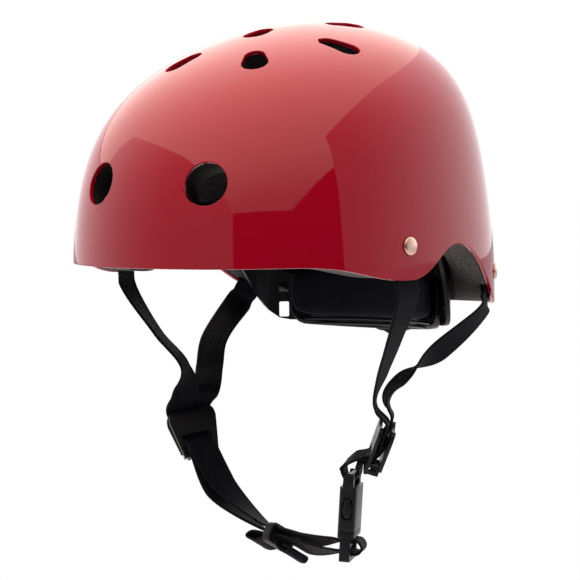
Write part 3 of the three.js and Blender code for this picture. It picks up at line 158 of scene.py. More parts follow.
def smooth(obj: bpy.types.Object, degrees: float = 35) -> None:
    """Shades a mesh smooth up to an angle."""
    only(obj)
    bpy.ops.object.shade_smooth_by_angle(angle=math.radians(degrees))


def plate(name: str, outline: list, depth: float, frame: Matrix) -> bpy.types.Object:
    """Pushes an outline out into a closed block.

    Args:
        name: The block's name.
        outline: Points (x, y) round the outline, in metres.
        depth: How far it is pushed along the frame's Z.
        frame: Where the outline lies.

    Returns:
        The block.
    """
    bpy.ops.object.select_all(action="DESELECT")
    bpy.ops.mesh.primitive_circle_add(vertices=len(outline), radius=1, fill_type="NGON")
    obj = bpy.context.object
    obj.name = name
    set_coords(obj, [(x, y, 0) for x, y in outline])
    in_edit(obj)
    bpy.ops.mesh.extrude_region_move(TRANSFORM_OT_translate={"value": (0, 0, depth)})
    bpy.ops.mesh.select_all(action="SELECT")
    bpy.ops.mesh.normals_make_consistent(inside=False)
    done()
    obj.data.transform(frame)
    return obj


def joined(name: str, objects: list) -> bpy.types.Object:
    """Joins objects into the first of them, under a new name."""
    bpy.ops.object.select_all(action="DESELECT")
    for obj in objects:
        obj.select_set(True)
    bpy.context.view_layer.objects.active = objects[0]
    bpy.ops.object.join()
    objects[0].name = name
    return objects[0]


def boolean(obj: bpy.types.Object, tool: bpy.types.Object, operation: str) -> None:
    """Cuts, joins or intersects an object with a tool, which is then removed."""
    apply(obj, "BOOLEAN", operation=operation, object=tool, solver="EXACT")
    mesh = tool.data
    bpy.data.objects.remove(tool)
    bpy.data.meshes.remove(mesh)


def mirrored(obj: bpy.types.Object, name: str) -> bpy.types.Object:
    """A copy of an object on the other side of the middle plane, with its own mesh."""
    mesh = obj.data.copy()
    mesh.transform(Matrix.Diagonal((-1, 1, 1, 1)))
    mesh.flip_normals()
    return linked(name, mesh)


def axes(origin: Vector, x_axis: Vector, y_axis: Vector) -> Matrix:
    """A frame from its origin and the directions of its X and Y."""
    x = x_axis.normalized()
    z = x.cross(y_axis).normalized()
    y = z.cross(x)
    frame = Matrix((x, y, z)).transposed().to_4x4()
    frame.translation = origin
    return frame


def mark_edges(obj: bpy.types.Object) -> None:
    """Writes which faces are rounded edges to an attribute that the edge wear and painted highlight read, and gives
    them slot 0.
    """
    mesh = obj.data
    values = np.zeros(len(mesh.loops), np.float32)
    for face in mesh.polygons:
        if face.material_index == 1:
            values[list(face.loop_indices)] = 1
            face.material_index = 0
    layer = mesh.attributes.new("edge", "FLOAT", "CORNER")
    layer.data.foreach_set("value", values)
    mesh.materials.clear()


def rounded(obj: bpy.types.Object, width: float, segments: int = 2, degrees: float = 32,
            clamp: bool = True) -> None:
    """Rounds an object's sharp edges and marks the rounding.

    Args:
        obj: The object.
        width: How far the rounding reaches, in metres.
        segments: Faces across the rounding.
        degrees: Only edges sharper than this are rounded.
        clamp: Whether the rounding keeps clear of its neighbours.
    """
    obj.data.materials.clear()
    obj.data.materials.append(None)
    obj.data.materials.append(None)
    for face in obj.data.polygons:
        face.material_index = 0
    apply(obj, "BEVEL", width=width, segments=segments, limit_method="ANGLE", angle_limit=math.radians(degrees),
          use_clamp_overlap=clamp, material=1, miter_outer="MITER_ARC")
    mark_edges(obj)


# Node graphs


class Graph:
    """Builds the nodes of a material or a node group, one call a node."""

    def __init__(self, tree: bpy.types.NodeTree) -> None:
        """Starts on an empty tree."""
        self.tree = tree
        tree.nodes.clear()

    def add(self, kind: str, inputs: dict | None = None, **settings: object) -> bpy.types.Node:
        """Adds a node.

        Args:
            kind: Blender's node type, without its ShaderNode prefix.
            inputs: Values or sockets for its inputs, by name or number.
            settings: The node's properties.

        Returns:
            The node.
        """
        node = self.tree.nodes.new(kind if kind.startswith("Node") else f"ShaderNode{kind}")
        for key, value in settings.items():
            setattr(node, key, value)
        for key, value in (inputs or {}).items():
            if isinstance(value, bpy.types.NodeSocket):
                self.tree.links.new(value, node.inputs[key])
            else:
                node.inputs[key].default_value = value
        return node

    def math(self, operation: str, a: object, b: object = 0.0, c: object = 0.0) -> bpy.types.NodeSocket:
        """A Math node's output."""
        return self.add("Math", {0: a, 1: b, 2: c}, operation=operation).outputs[0]

    def blend(self, share: object, a: object, b: object) -> bpy.types.NodeSocket:
        """Mixes two colours by a share."""
        node = self.add("Mix", {0: share, 6: a, 7: b}, data_type="RGBA")
        return node.outputs[2]

    def span(self, value: object, low: float, high: float, to_low: float = 0.0,
             to_high: float = 1.0) -> bpy.types.NodeSocket:
        """Stretches a value from one span to another, smoothly."""
        node = self.add("MapRange", {0: value, 1: low, 2: high, 3: to_low, 4: to_high},
                        interpolation_type="SMOOTHSTEP")
        return node.outputs[0]

    def noise(self, where: object, scale: object, detail: float = 3.0,
              roughness: float = 0.5) -> bpy.types.NodeSocket:
        """A noise's value."""
        node = self.add("TexNoise", {"Vector": where, "Scale": scale, "Detail": detail,
                                     "Roughness": roughness})
        return node.outputs[0]


def group(name: str, inputs: dict, outputs: dict) -> tuple[Graph, bpy.types.Node, bpy.types.Node]:
    """Starts a node group.

    Args:
        name: The group's name.
        inputs: Its inputs, with each one's default value.
        outputs: Its outputs, each with its socket type.

    Returns:
        Its graph, its input node and its output node.
    """
    tree = bpy.data.node_groups.new(name, "ShaderNodeTree")
    graph = Graph(tree)
    for key, value in inputs.items():
        kind = "NodeSocketColor" if isinstance(value, tuple) else "NodeSocketFloat"
        socket = tree.interface.new_socket(key, in_out="INPUT", socket_type=kind)
        socket.default_value = value
    for key, kind in outputs.items():
        tree.interface.new_socket(key, in_out="OUTPUT", socket_type=f"NodeSocket{kind}")
    return graph, graph.add("NodeGroupInput"), graph.add("NodeGroupOutput")


class Effects:
    """The effects that several finishes share, each built once as a node group."""

    def __init__(self) -> None:
        """Builds all the groups."""
        self.grain = self._grain()
        self.wear_and_highlight = self._wear_and_highlight()
        self.handling = self._handling()
        self.nap = self._nap()

    @staticmethod
    def _grain() -> bpy.types.NodeTree:
        """A moulded surface's fine grain, as a height."""
        graph, inn, out = group("moulded_grain", {"Scale": 2500.0, "Flow": 120.0},
                                {"Height": "Float", "Shade": "Float"})
        where = graph.add("TexCoord").outputs["Object"]
        fine = graph.noise(where, inn.outputs["Scale"], 4.0, 0.6)
        flow = graph.noise(where, inn.outputs["Flow"], 2.0)
        graph.tree.links.new(graph.math("MULTIPLY_ADD", fine, 0.8, graph.math("MULTIPLY", flow, 0.2)),
                             out.inputs["Height"])
        graph.tree.links.new(flow, out.inputs["Shade"])
        return graph.tree

    @staticmethod
    def _wear_and_highlight() -> bpy.types.NodeTree:
        """Edges paler in patches: partly rubbed wear, partly a painted highlight along the rounded edges."""
        graph, inn, out = group(
            "edge_wear_and_highlight", {"Colour": (0.1, 0.1, 0.1, 1), "Rubbed": (0.2, 0.2, 0.2, 1), "Amount": 0.5},
            {"Colour": "Color", "Mask": "Float"})
        edge = graph.add("Attribute", attribute_name="edge").outputs["Fac"]
        patches = graph.span(graph.noise(graph.add("TexCoord").outputs["Object"], 180.0, 4.0, 0.65), 0.4, 0.68)
        mask = graph.math("MULTIPLY", graph.math("MULTIPLY", edge, patches), inn.outputs["Amount"])
        graph.tree.links.new(graph.blend(mask, inn.outputs["Colour"], inn.outputs["Rubbed"]),
                             out.inputs["Colour"])
        graph.tree.links.new(mask, out.inputs["Mask"])
        return graph.tree

    @staticmethod
    def _handling() -> bpy.types.NodeTree:
        """Roughness that drifts over a surface, with fine hairline marks."""
        graph, inn, out = group("handling", {"Roughness": 0.3, "Spread": 0.1, "Marks": 0.02},
                                {"Roughness": "Float"})
        where = graph.add("TexCoord").outputs["Object"]
        drift = graph.math("SUBTRACT", graph.noise(where, 22.0, 5.0, 0.6), 0.5)
        lines = graph.add("TexNoise", {"Vector": where, "Scale": 60.0, "Detail": 2.0, "Distortion": 2.5})
        hair = graph.span(graph.math("ABSOLUTE", graph.math("SUBTRACT", lines.outputs[0], 0.5)), 0.0, 0.006, 1.0, 0.0)
        rough = graph.math("MULTIPLY_ADD", drift, inn.outputs["Spread"], inn.outputs["Roughness"])
        graph.tree.links.new(graph.math("MULTIPLY_ADD", hair, inn.outputs["Marks"], rough),
                             out.inputs["Roughness"])
        return graph.tree

    @staticmethod
    def _nap() -> bpy.types.NodeTree:
        """Brushed knit: short fibres over faint ribs, as a shade and a height."""
        graph, inn, out = group("brushed_nap", {"Fibre": 1600.0, "Rib": 900.0}, {"Height": "Float", "Shade": "Float"})
        where = graph.add("TexCoord").outputs["Object"]
        fibre = graph.noise(where, inn.outputs["Fibre"], 5.0, 0.7)
        patch = graph.noise(where, 90.0, 3.0)
        rib = graph.add("TexWave", {"Vector": where, "Scale": inn.outputs["Rib"], "Distortion": 3.0,
                                    "Detail": 2.0}, bands_direction="Z").outputs[1]
        height = graph.math("MULTIPLY_ADD", rib, 0.35, fibre)
        graph.tree.links.new(height, out.inputs["Height"])
        graph.tree.links.new(graph.math("MULTIPLY_ADD", patch, 0.5, graph.math("MULTIPLY", fibre, 0.5)),
                             out.inputs["Shade"])
        return graph.tree


def use(graph: Graph, tree: bpy.types.NodeTree, **inputs: object) -> bpy.types.Node:
    """Places a shared effect in a graph, with its own values."""
    return graph.add("Group", inputs, node_tree=tree)


def colour(red: float, green: float, blue: float) -> tuple[float, float, float, float]:
    """A colour with full cover."""
    return (red, green, blue, 1.0)


# Finishes


class Slot(Enum):
    """The record's material slots."""

    SHELL = "gloss_shell"
    FOAM = "foam"
    PAD = "pad_cloth"
    CRADLE_PAD = "cradle_cloth"
    WEBBING = "webbing"
    SATIN = "satin_plastic"
    FRAME = "frame_plastic"
    KNOB = "knob_plastic"
    KEEPER = "keeper_rubber"
    RIVET = "rivet_metal"
    WASHER = "washer_metal"


def new_material(name: str) -> tuple[bpy.types.Material, Graph]:
    """An empty material and its graph."""
    material = bpy.data.materials.new(name)
    material.use_nodes = True
    return material, Graph(material.node_tree)


def finished(graph: Graph, inputs: dict) -> bpy.types.Node:
    """Ends a graph in a Principled shader.

    Args:
        graph: The material's graph.
        inputs: The shader's inputs by name, as plain values or sockets.

    Returns:
        The shader node.
    """
    shader = graph.add("BsdfPrincipled", inputs)
    graph.add("OutputMaterial", {"Surface": shader.outputs[0]})
    return shader


@dataclass(frozen=True)
class GlossLacquer:
    """The shell's clear, deep red moulding."""

    deep: tuple = colour(0.30, 0.0012, 0.012)
    bright: tuple = colour(0.335, 0.002, 0.0155)
    roughness: float = 0.035

    def material(self, effects: Effects) -> bpy.types.Material:
        """Builds the finish."""
        material, graph = new_material("gloss_lacquer")
        where = graph.add("TexCoord").outputs["Object"]
        tone = graph.blend(graph.noise(where, 14.0, 3.0), self.deep, self.bright)
        # The rounded edges round the vents are painted a paler red in patches: partly wear, partly a painted
        # highlight.
        worn_and_highlit = use(graph, effects.wear_and_highlight, Colour=tone, Rubbed=colour(0.36, 0.01, 0.03), Amount=0.35)
        handled = use(graph, effects.handling, Roughness=self.roughness, Spread=0.02, Marks=0.012)
        skin = graph.noise(where, 240.0, 2.0)
        bump = graph.add("Bump", {"Strength": 0.012, "Distance": 0.0004, "Height": skin})
        finished(graph, {"Base Color": worn_and_highlit.outputs["Colour"], "Roughness": handled.outputs[0], "IOR": 1.5,
                         "Normal": bump.outputs[0]})
        return material


@dataclass(frozen=True)
class BeadedFoam:
    """Dark expanded foam: fused beads with speckled skins, painted near black as shade where it is closed in."""

    dark: tuple = colour(0.04, 0.039, 0.041)
    pale: tuple = colour(0.2, 0.19, 0.192)
    painted_recess_shade: tuple = colour(0.001, 0.001, 0.0013)
    bead: float = 420.0

    def material(self, effects: Effects) -> bpy.types.Material:
        """Builds the finish."""
        material, graph = new_material("beaded_foam")
        where = graph.add("TexCoord").outputs["Object"]
        cells = graph.add("TexVoronoi", {"Vector": where, "Scale": self.bead}, feature="F1")
        seams = graph.add("TexVoronoi", {"Vector": where, "Scale": self.bead}, feature="DISTANCE_TO_EDGE")
        groove = graph.span(seams.outputs["Distance"], 0.0, 0.12)
        speck = graph.noise(where, 1500.0, 4.0, 0.7)
        shade = graph.math("MULTIPLY", graph.span(speck, 0.35, 0.7),
                           graph.add("SeparateColor", {0: cells.outputs["Color"]}).outputs[0])
        tone = graph.blend(graph.math("MULTIPLY", groove, graph.math("MULTIPLY_ADD", shade, 0.8, 0.2)),
                           self.dark, self.pale)
        # Painted shade: ambient occlusion darkens the foam towards near black in the vents and other hollows.
        painted_shade_ao = graph.add("AmbientOcclusion", {"Distance": 0.12}, samples=8).outputs["AO"]
        tone = graph.blend(graph.math("POWER", painted_shade_ao, 3.0), self.painted_recess_shade, tone)
        height = graph.math("MULTIPLY_ADD", speck, 0.25, groove)
        bump = graph.add("Bump", {"Strength": 0.6, "Distance": 0.0004, "Height": height})
        handled = use(graph, effects.handling, Roughness=0.82, Spread=0.15, Marks=0.0)
        finished(graph, {"Base Color": tone, "Roughness": handled.outputs[0], "Specular IOR Level": 0.3,
                         "Normal": bump.outputs[0]})
        return material


@dataclass(frozen=True)
class MouldedPlastic:
    """Dark moulded plastic or rubber, with a fine grain and edges painted paler, partly as wear and partly as a
    painted highlight.
    """

    name: str
    base: tuple
    rubbed_and_lit: tuple
    roughness: float
    grain: float = 0.12
    coat: float = 0.0
    shine: float = 0.25

    def material(self, effects: Effects) -> bpy.types.Material:
        """Builds the finish."""
        material, graph = new_material(self.name)
        grain = use(graph, effects.grain)
        darker = tuple(0.8 * c for c in self.base[:3]) + (1.0,)
        tone = graph.blend(grain.outputs["Shade"], darker, self.base)
        # Edges painted paler in patches: partly wear, partly a painted highlight.
        worn_and_highlit = use(graph, effects.wear_and_highlight, Colour=tone, Rubbed=self.rubbed_and_lit, Amount=0.8)
        handled = use(graph, effects.handling, Roughness=self.roughness, Spread=0.18, Marks=0.05)
        rough = graph.math("MULTIPLY_ADD", worn_and_highlit.outputs["Mask"], 0.12, handled.outputs[0])
        bump = graph.add("Bump", {"Strength": self.grain, "Distance": 0.0002, "Height": grain.outputs["Height"]})
        finished(graph, {"Base Color": worn_and_highlit.outputs["Colour"], "Roughness": rough, "Specular IOR Level": self.shine,
                         "Coat Weight": self.coat, "Coat Roughness": 0.08, "Normal": bump.outputs[0]})
        return material


@dataclass(frozen=True)
class BrushedCloth:
    """Brushed knit over foam."""

    name: str
    base: tuple
    lit: tuple
    sheen: float = 0.02

    def material(self, effects: Effects) -> bpy.types.Material:
        """Builds the finish."""
        material, graph = new_material(self.name)
        nap = use(graph, effects.nap)
        tone = graph.blend(nap.outputs["Shade"], self.base, self.lit)
        bump = graph.add("Bump", {"Strength": 0.5, "Distance": 0.0003, "Height": nap.outputs["Height"]})
        handled = use(graph, effects.handling, Roughness=0.9, Spread=0.1, Marks=0.0)
        finished(graph, {"Base Color": tone, "Roughness": handled.outputs[0], "Specular IOR Level": 0.15,
                         "Sheen Weight": self.sheen, "Sheen Roughness": 0.5, "Normal": bump.outputs[0]})
        return material


@dataclass(frozen=True)
class WovenWebbing:
    """Plain-woven polyester webbing: ribs along its length, crossed by picks, with a bound edge.

    It reads the piece's own map, in millimetres: across the webbing and along it.
    """

    dark: tuple = colour(0.0014, 0.0015, 0.003)
    lit: tuple = colour(0.009, 0.0094, 0.015)
    rib: float = 0.72
    pick: float = 0.95

    def material(self, effects: Effects) -> bpy.types.Material:
        """Builds the finish."""
        material, graph = new_material("woven_webbing")
        place = graph.add("SeparateXYZ", {0: graph.add("UVMap", uv_map="UVMap").outputs[0]}).outputs
        turn = 2 * math.pi
        ribs = graph.math("SINE", graph.math("MULTIPLY", place[0], turn / self.rib))
        side = graph.math("SIGN", graph.math("SINE", graph.math("MULTIPLY", place[0], turn / (2 * self.rib))))
        shift = graph.math("MULTIPLY_ADD", side, 0.25 * self.pick, place[1])
        picks = graph.math("SINE", graph.math("MULTIPLY", shift, turn / self.pick))
        thread = graph.math("MULTIPLY_ADD", ribs, 0.5, graph.math("MULTIPLY", picks, 0.5))
        where = graph.add("TexCoord").outputs["Object"]
        fuzz = graph.noise(where, 2600.0, 3.0, 0.7)
        height = graph.math("MULTIPLY_ADD", fuzz, 0.3, thread)
        patch = graph.noise(where, 60.0, 3.0)
        # Colour: random patches, with the raised threads painted paler and the hollows between them darker, a painted
        # shade of the weave.
        share = graph.span(graph.math("MULTIPLY_ADD", patch, 0.8, graph.math("MULTIPLY", height, 0.35)), 0.1, 0.9)
        tone = graph.blend(share, self.dark, self.lit)
        bump = graph.add("Bump", {"Strength": 0.32, "Distance": 0.00025, "Height": height})
        handled = use(graph, effects.handling, Roughness=0.72, Spread=0.15, Marks=0.0)
        finished(graph, {"Base Color": tone, "Roughness": handled.outputs[0], "Specular IOR Level": 0.1,
                         "Sheen Weight": 0.01, "Sheen Roughness": 0.4, "Normal": bump.outputs[0]})
        return material


@dataclass(frozen=True)
class PlatedMetal:
    """Pressed and plated metal, with fine turning marks."""

    name: str
    base: tuple
    roughness: float

    def material(self, effects: Effects) -> bpy.types.Material:
        """Builds the finish."""
        material, graph = new_material(self.name)
        where = graph.add("TexCoord").outputs["Object"]
        tarnish = tuple(0.55 * c for c in self.base[:3]) + (1.0,)
        tone = graph.blend(graph.span(graph.noise(where, 420.0, 4.0), 0.55, 0.8), self.base, tarnish)
        handled = use(graph, effects.handling, Roughness=self.roughness, Spread=0.2, Marks=0.2)
        bump = graph.add("Bump", {"Strength": 0.05, "Distance": 0.0002, "Height": graph.noise(where, 900.0)})
        finished(graph, {"Base Color": tone, "Roughness": handled.outputs[0], "Metallic": 1.0,
                         "Normal": bump.outputs[0]})
        return material


class Finishes:
    """Every finish on the helmet, by the record's slot."""

    def __init__(self) -> None:
        """Builds the shared effects and each finish."""
        effects = Effects()
        dark = colour(0.0042, 0.0047, 0.008)
        made = {
            Slot.SHELL: GlossLacquer(),
            Slot.FOAM: BeadedFoam(),
            Slot.PAD: BrushedCloth("pad_knit", colour(0.002, 0.0022, 0.004), colour(0.011, 0.0115, 0.016)),
            Slot.CRADLE_PAD: BrushedCloth("cradle_knit", colour(0.0014, 0.0018, 0.005), colour(0.007, 0.009, 0.018)),
            Slot.WEBBING: WovenWebbing(),
            Slot.SATIN: MouldedPlastic("satin_moulding", dark, colour(0.05, 0.052, 0.058), 0.36),
            Slot.FRAME: MouldedPlastic("gloss_moulding", colour(0.0045, 0.005, 0.008),
                                       colour(0.03, 0.032, 0.038), 0.16, grain=0.04, coat=0.4),
            Slot.KNOB: MouldedPlastic("soft_grip", colour(0.012, 0.012, 0.013), colour(0.035, 0.035, 0.037), 0.62,
                                      grain=0.25),
            Slot.KEEPER: MouldedPlastic("keeper_rubber", colour(0.011, 0.011, 0.0125),
                                        colour(0.03, 0.03, 0.033), 0.5, grain=0.2),
            Slot.RIVET: PlatedMetal("copper_plate", colour(0.86, 0.58, 0.46), 0.22),
            Slot.WASHER: PlatedMetal("plain_steel", colour(0.5, 0.5, 0.5), 0.35),
        }
        self.materials = {slot: finish.material(effects) for slot, finish in made.items()}

    def dress(self, obj: bpy.types.Object, slot: Slot, body: str, *nodes: str) -> bpy.types.Object:
        """Gives a piece its finish, its body and the CAD nodes that it stands for.

        Args:
            obj: The piece, in place.
            slot: Its finish.
            body: The CAD body that it rides on, or nothing for a piece that is blended.
            nodes: The CAD nodes that it replaces.

        Returns:
            The piece.
        """
        obj.data.materials.clear()
        obj.data.materials.append(self.materials[slot])
        if body:
            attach(obj, body)
        if nodes:
            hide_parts(*nodes)
        log.info("%s: %d faces on %s", obj.name, len(obj.data.polygons), body or "two bodies")
        return obj


# The form of the shell


@dataclass(frozen=True)
class Skin:
    """How one side of the shell's form swells between its widest level and the crown."""

    half: float
    crown: float
    fullness: float
    skew: float

    def reach(self, rise: np.ndarray, inset: float) -> np.ndarray:
        """How far this side reaches from the crown's axis at each rise."""
        lift = np.sin(rise)
        bulge = np.sin(2 * rise) ** 2
        shape = 1 + self.fullness * bulge + self.skew * bulge * np.cos(2 * rise)
        return np.cos(rise) * (self.half - inset + (self.crown - self.half) * lift ** 3) * shape


@dataclass(frozen=True)
class ShellForm:
    """The smooth form that the shell, the liner and the pads share, in millimetres above the brow rim."""

    front: Skin = Skin(148.1, 150, 0.079, -0.003)
    rear: Skin = Skin(97.9, 150, -0.06, 0.035)
    side: Skin = Skin(99.1, 125, 0.096, -0.031)
    height: float = 125
    widest: float = 10.4
    front_corner: float = 0.048
    rear_corner: float = -0.01
    wall: float = 2.4
    liner_gap: float = 0.4
    foam: float = 18
    brow_end: float = -118
    flap: tuple = (-52, -8.7)
    notch: tuple = (-13, 7.9)
    nape: tuple = (62, -28)

    def points(self, turn: np.ndarray, rise: np.ndarray, inset: float = 0) -> np.ndarray:
        """Points of the form.

        Args:
            turn: Angle round the crown's axis, from the wearer's left towards the rear.
            rise: Angle up from the widest level.
            inset: How far inside the outer skin.

        Returns:
            One row for each point.
        """
        turn, rise = np.broadcast_arrays(np.asarray(turn, float), np.asarray(rise, float))
        front, rear, side = (s.reach(rise, inset) for s in (self.front, self.rear, self.side))
        share = (1 + np.sin(turn)) / 2
        corner = self.front_corner + (self.rear_corner - self.front_corner) * share
        swell = 1 + corner * np.cos(rise) ** 2 * np.sin(2 * turn) ** 2
        return np.stack([
            side * np.cos(turn) * swell,
            (rear - front) / 2 + (rear + front) / 2 * np.sin(turn) * swell,
            -self.widest + (self.height - inset + self.widest) * np.sin(rise),
        ], -1)

    def rise_at(self, z: np.ndarray, inset: float = 0) -> np.ndarray:
        """The rise at which the form reaches a height."""
        share = (np.asarray(z, float) + self.widest) / (self.height - inset + self.widest)
        return np.arcsin(np.clip(share, 0, 1))

    def _turn(self, xy: np.ndarray, rise: np.ndarray, inset: float) -> tuple[np.ndarray, np.ndarray]:
        """The turn towards each plan position at a rise, and how far beyond the form it lies."""
        front, rear, side = (s.reach(rise, inset) for s in (self.front, self.rear, self.side))
        middle, half = (rear - front) / 2, (rear + front) / 2
        away = xy[..., 1] - middle
        turn = np.arctan2(away / np.maximum(half, 1e-6), xy[..., 0] / np.maximum(side, 1e-6))
        edge = self.points(turn, rise, inset)
        over = np.hypot(xy[..., 0], away) - np.hypot(edge[..., 0], edge[..., 1] - middle)
        return turn, over

    def above(self, xy: np.ndarray, inset: float = 0) -> tuple[np.ndarray, np.ndarray]:
        """The turn and rise of the form straight above each plan position."""
        low, high = np.zeros(len(xy)), np.full(len(xy), math.pi / 2)
        for _ in range(40):
            rise = (low + high) / 2
            turn, over = self._turn(xy, rise, inset)
            high, low = np.where(over > 0, rise, high), np.where(over > 0, low, rise)
        return turn, (low + high) / 2

    def wall_point(self, y: float, z: float, inset: float = 0) -> Vector:
        """The point of the form on the wearer's left at a given y and height."""
        rise = float(self.rise_at(z, inset))
        low, high = -math.pi / 2, math.pi / 2
        for _ in range(40):
            turn = (low + high) / 2
            low, high = (low, turn) if self.points(turn, rise, inset)[1] > y else (turn, high)
        return Vector((float(self.points(low, rise, inset)[0]), y, z))

    def normals(self, points: np.ndarray, inset: float = 0) -> np.ndarray:
        """The form's outward direction nearest to each point, worked out from the form itself."""
        rise = self.rise_at(points[:, 2], inset)
        turn, _ = self._turn(points[:, :2], rise, inset)
        top = rise > math.radians(50)
        if top.any():
            turn[top], rise[top] = self.above(points[top, :2], inset)
        step = 1e-3
        rise = np.clip(rise, 0, math.pi / 2 - 2 * step)
        along = self.points(turn + step, rise, inset) - self.points(turn - step, rise, inset)
        up = self.points(turn, rise + step, inset) - self.points(turn, np.maximum(rise - step, 0), inset)
        normal = np.cross(along, up)
        normal /= np.linalg.norm(normal, axis=1)[:, None]
        normal[rise <= 0, 2] = 0
        return normal / np.linalg.norm(normal, axis=1)[:, None]

    def gap(self, points: np.ndarray, inset: float = 0) -> np.ndarray:
        """About how far each point lies outside the form."""
        rise = self.rise_at(points[:, 2], inset)
        _, over = self._turn(points[:, :2], rise, inset)
        top = rise > math.radians(50)
        gaps = over * np.cos(rise)
        if top.any():
            turn, up = self.above(points[top, :2], inset)
            gaps[top] = (points[top, 2] - self.points(turn, up, inset)[:, 2]) * np.sin(up)
        return gaps

    def dome(self, name: str, inset: float, around: int, up: int, floor: float) -> bpy.types.Object:
        """A closed dome of the form with a straight skirt.

        Args:
            name: The object's name.
            inset: How far inside the outer skin.
            around: Faces around.
            up: Faces from the widest level to the crown.
            floor: Height of the skirt's foot.

        Returns:
            The dome, in the part's frame.
        """
        bpy.ops.object.select_all(action="DESELECT")
        bpy.ops.mesh.primitive_uv_sphere_add(segments=around, ring_count=2 * up, radius=1)
        obj = bpy.context.object
        obj.name = name
        in_edit(obj)
        bpy.ops.mesh.bisect(plane_co=(0, 0, -1e-4), plane_no=(0, 0, 1), clear_inner=True, use_fill=False)
        bpy.ops.mesh.extrude_region_move(TRANSFORM_OT_translate={"value": (0, 0, -1)})
        bpy.ops.mesh.edge_face_add()
        bpy.ops.mesh.select_all(action="SELECT")
        bpy.ops.mesh.normals_make_consistent(inside=False)
        done()
        unit = coords(obj)
        turn = np.arctan2(unit[:, 1], unit[:, 0])
        rise = np.arcsin(np.clip(unit[:, 2], 0, 1))
        shaped = self.points(turn, rise, inset)
        shaped[unit[:, 2] < -0.5, 2] = floor
        set_coords(obj, in_part(shaped))
        merge(obj)
        return obj

    def above_rim(self, lift: float) -> bpy.types.Object:
        """A block of everything above the rim line as seen from the side."""
        run = 12.0

        def bend(a: tuple, b: tuple, lead: float, trail: float) -> list:
            """Points of the S-shaped curve from a to b, without a itself."""
            t = np.linspace(0, 1, 17)[1:, None]
            p = np.array([a, (a[0] + lead * (b[0] - a[0]), a[1]), (b[0] - trail * (b[0] - a[0]), b[1]), b], float)
            curve = (1 - t) ** 3 * p[0] + 3 * t * (1 - t) ** 2 * p[1] + 3 * t ** 2 * (1 - t) * p[2] + t ** 3 * p[3]
            return [tuple(row) for row in curve]

        front, back, top = -self.front.half - run, self.rear.half + run, self.height + run
        flap, notch, nape = ((p[0], p[1] + lift) for p in (self.flap, self.notch, self.nape))
        brow = (self.brow_end, lift)
        outline = [(front, lift), brow, *bend(brow, flap, 0.5, 0.42), *bend(flap, notch, 0.42, 0.36),
                   *bend(notch, nape, 0.36, 0.4), (back, nape[1]), (back, top), (front, top)]
        reach = (self.side.half + run) * MM
        frame = axes(Vector((-reach, 0, -CROWN_SEAT * MM)), Vector((0, 1, 0)), Vector((0, 0, 1)))
        return plate("above_rim", [(y * MM, z * MM) for y, z in outline], 2 * reach, frame)


def in_part(points: np.ndarray) -> np.ndarray:
    """Turns millimetres above the brow rim into metres in the part's frame."""
    return (np.asarray(points, float) - (0, 0, CROWN_SEAT)) * MM


def on_form(points: np.ndarray) -> np.ndarray:
    """Turns metres in the part's frame into millimetres above the brow rim."""
    return np.asarray(points, float) / MM + (0, 0, CROWN_SEAT)


def part_point(x: float, y: float, z: float) -> Vector:
    """A point given in millimetres above the brow rim, in the part's frame."""
    return Vector((x, y, z - CROWN_SEAT)) * MM


# Shell and liner


@dataclass(frozen=True)
class Vent:
    """A teardrop opening in the crown, or a round one at an end, in millimetres on the form."""

    x: float
    y: float
    length: float
    wide: float
    narrow: float

    def outline(self, room: float, steps: int = 14) -> list:
        """The opening's outline, wide end along +X, in metres."""
        length, wide, narrow = self.length + 2 * room, self.wide + room, self.narrow + room
        far, near = length / 2 - wide, narrow - length / 2
        lean = math.asin((wide - narrow) / (far - near))
        ends = [(far, wide, -math.pi / 2 - lean, math.pi / 2 + lean, steps),
                (near, narrow, math.pi / 2 + lean, 1.5 * math.pi - lean, steps)]
        return [((centre + radius * math.cos(a)) * MM, radius * math.sin(a) * MM)
                for centre, radius, start, end, count in ends for a in np.linspace(start, end, count)]


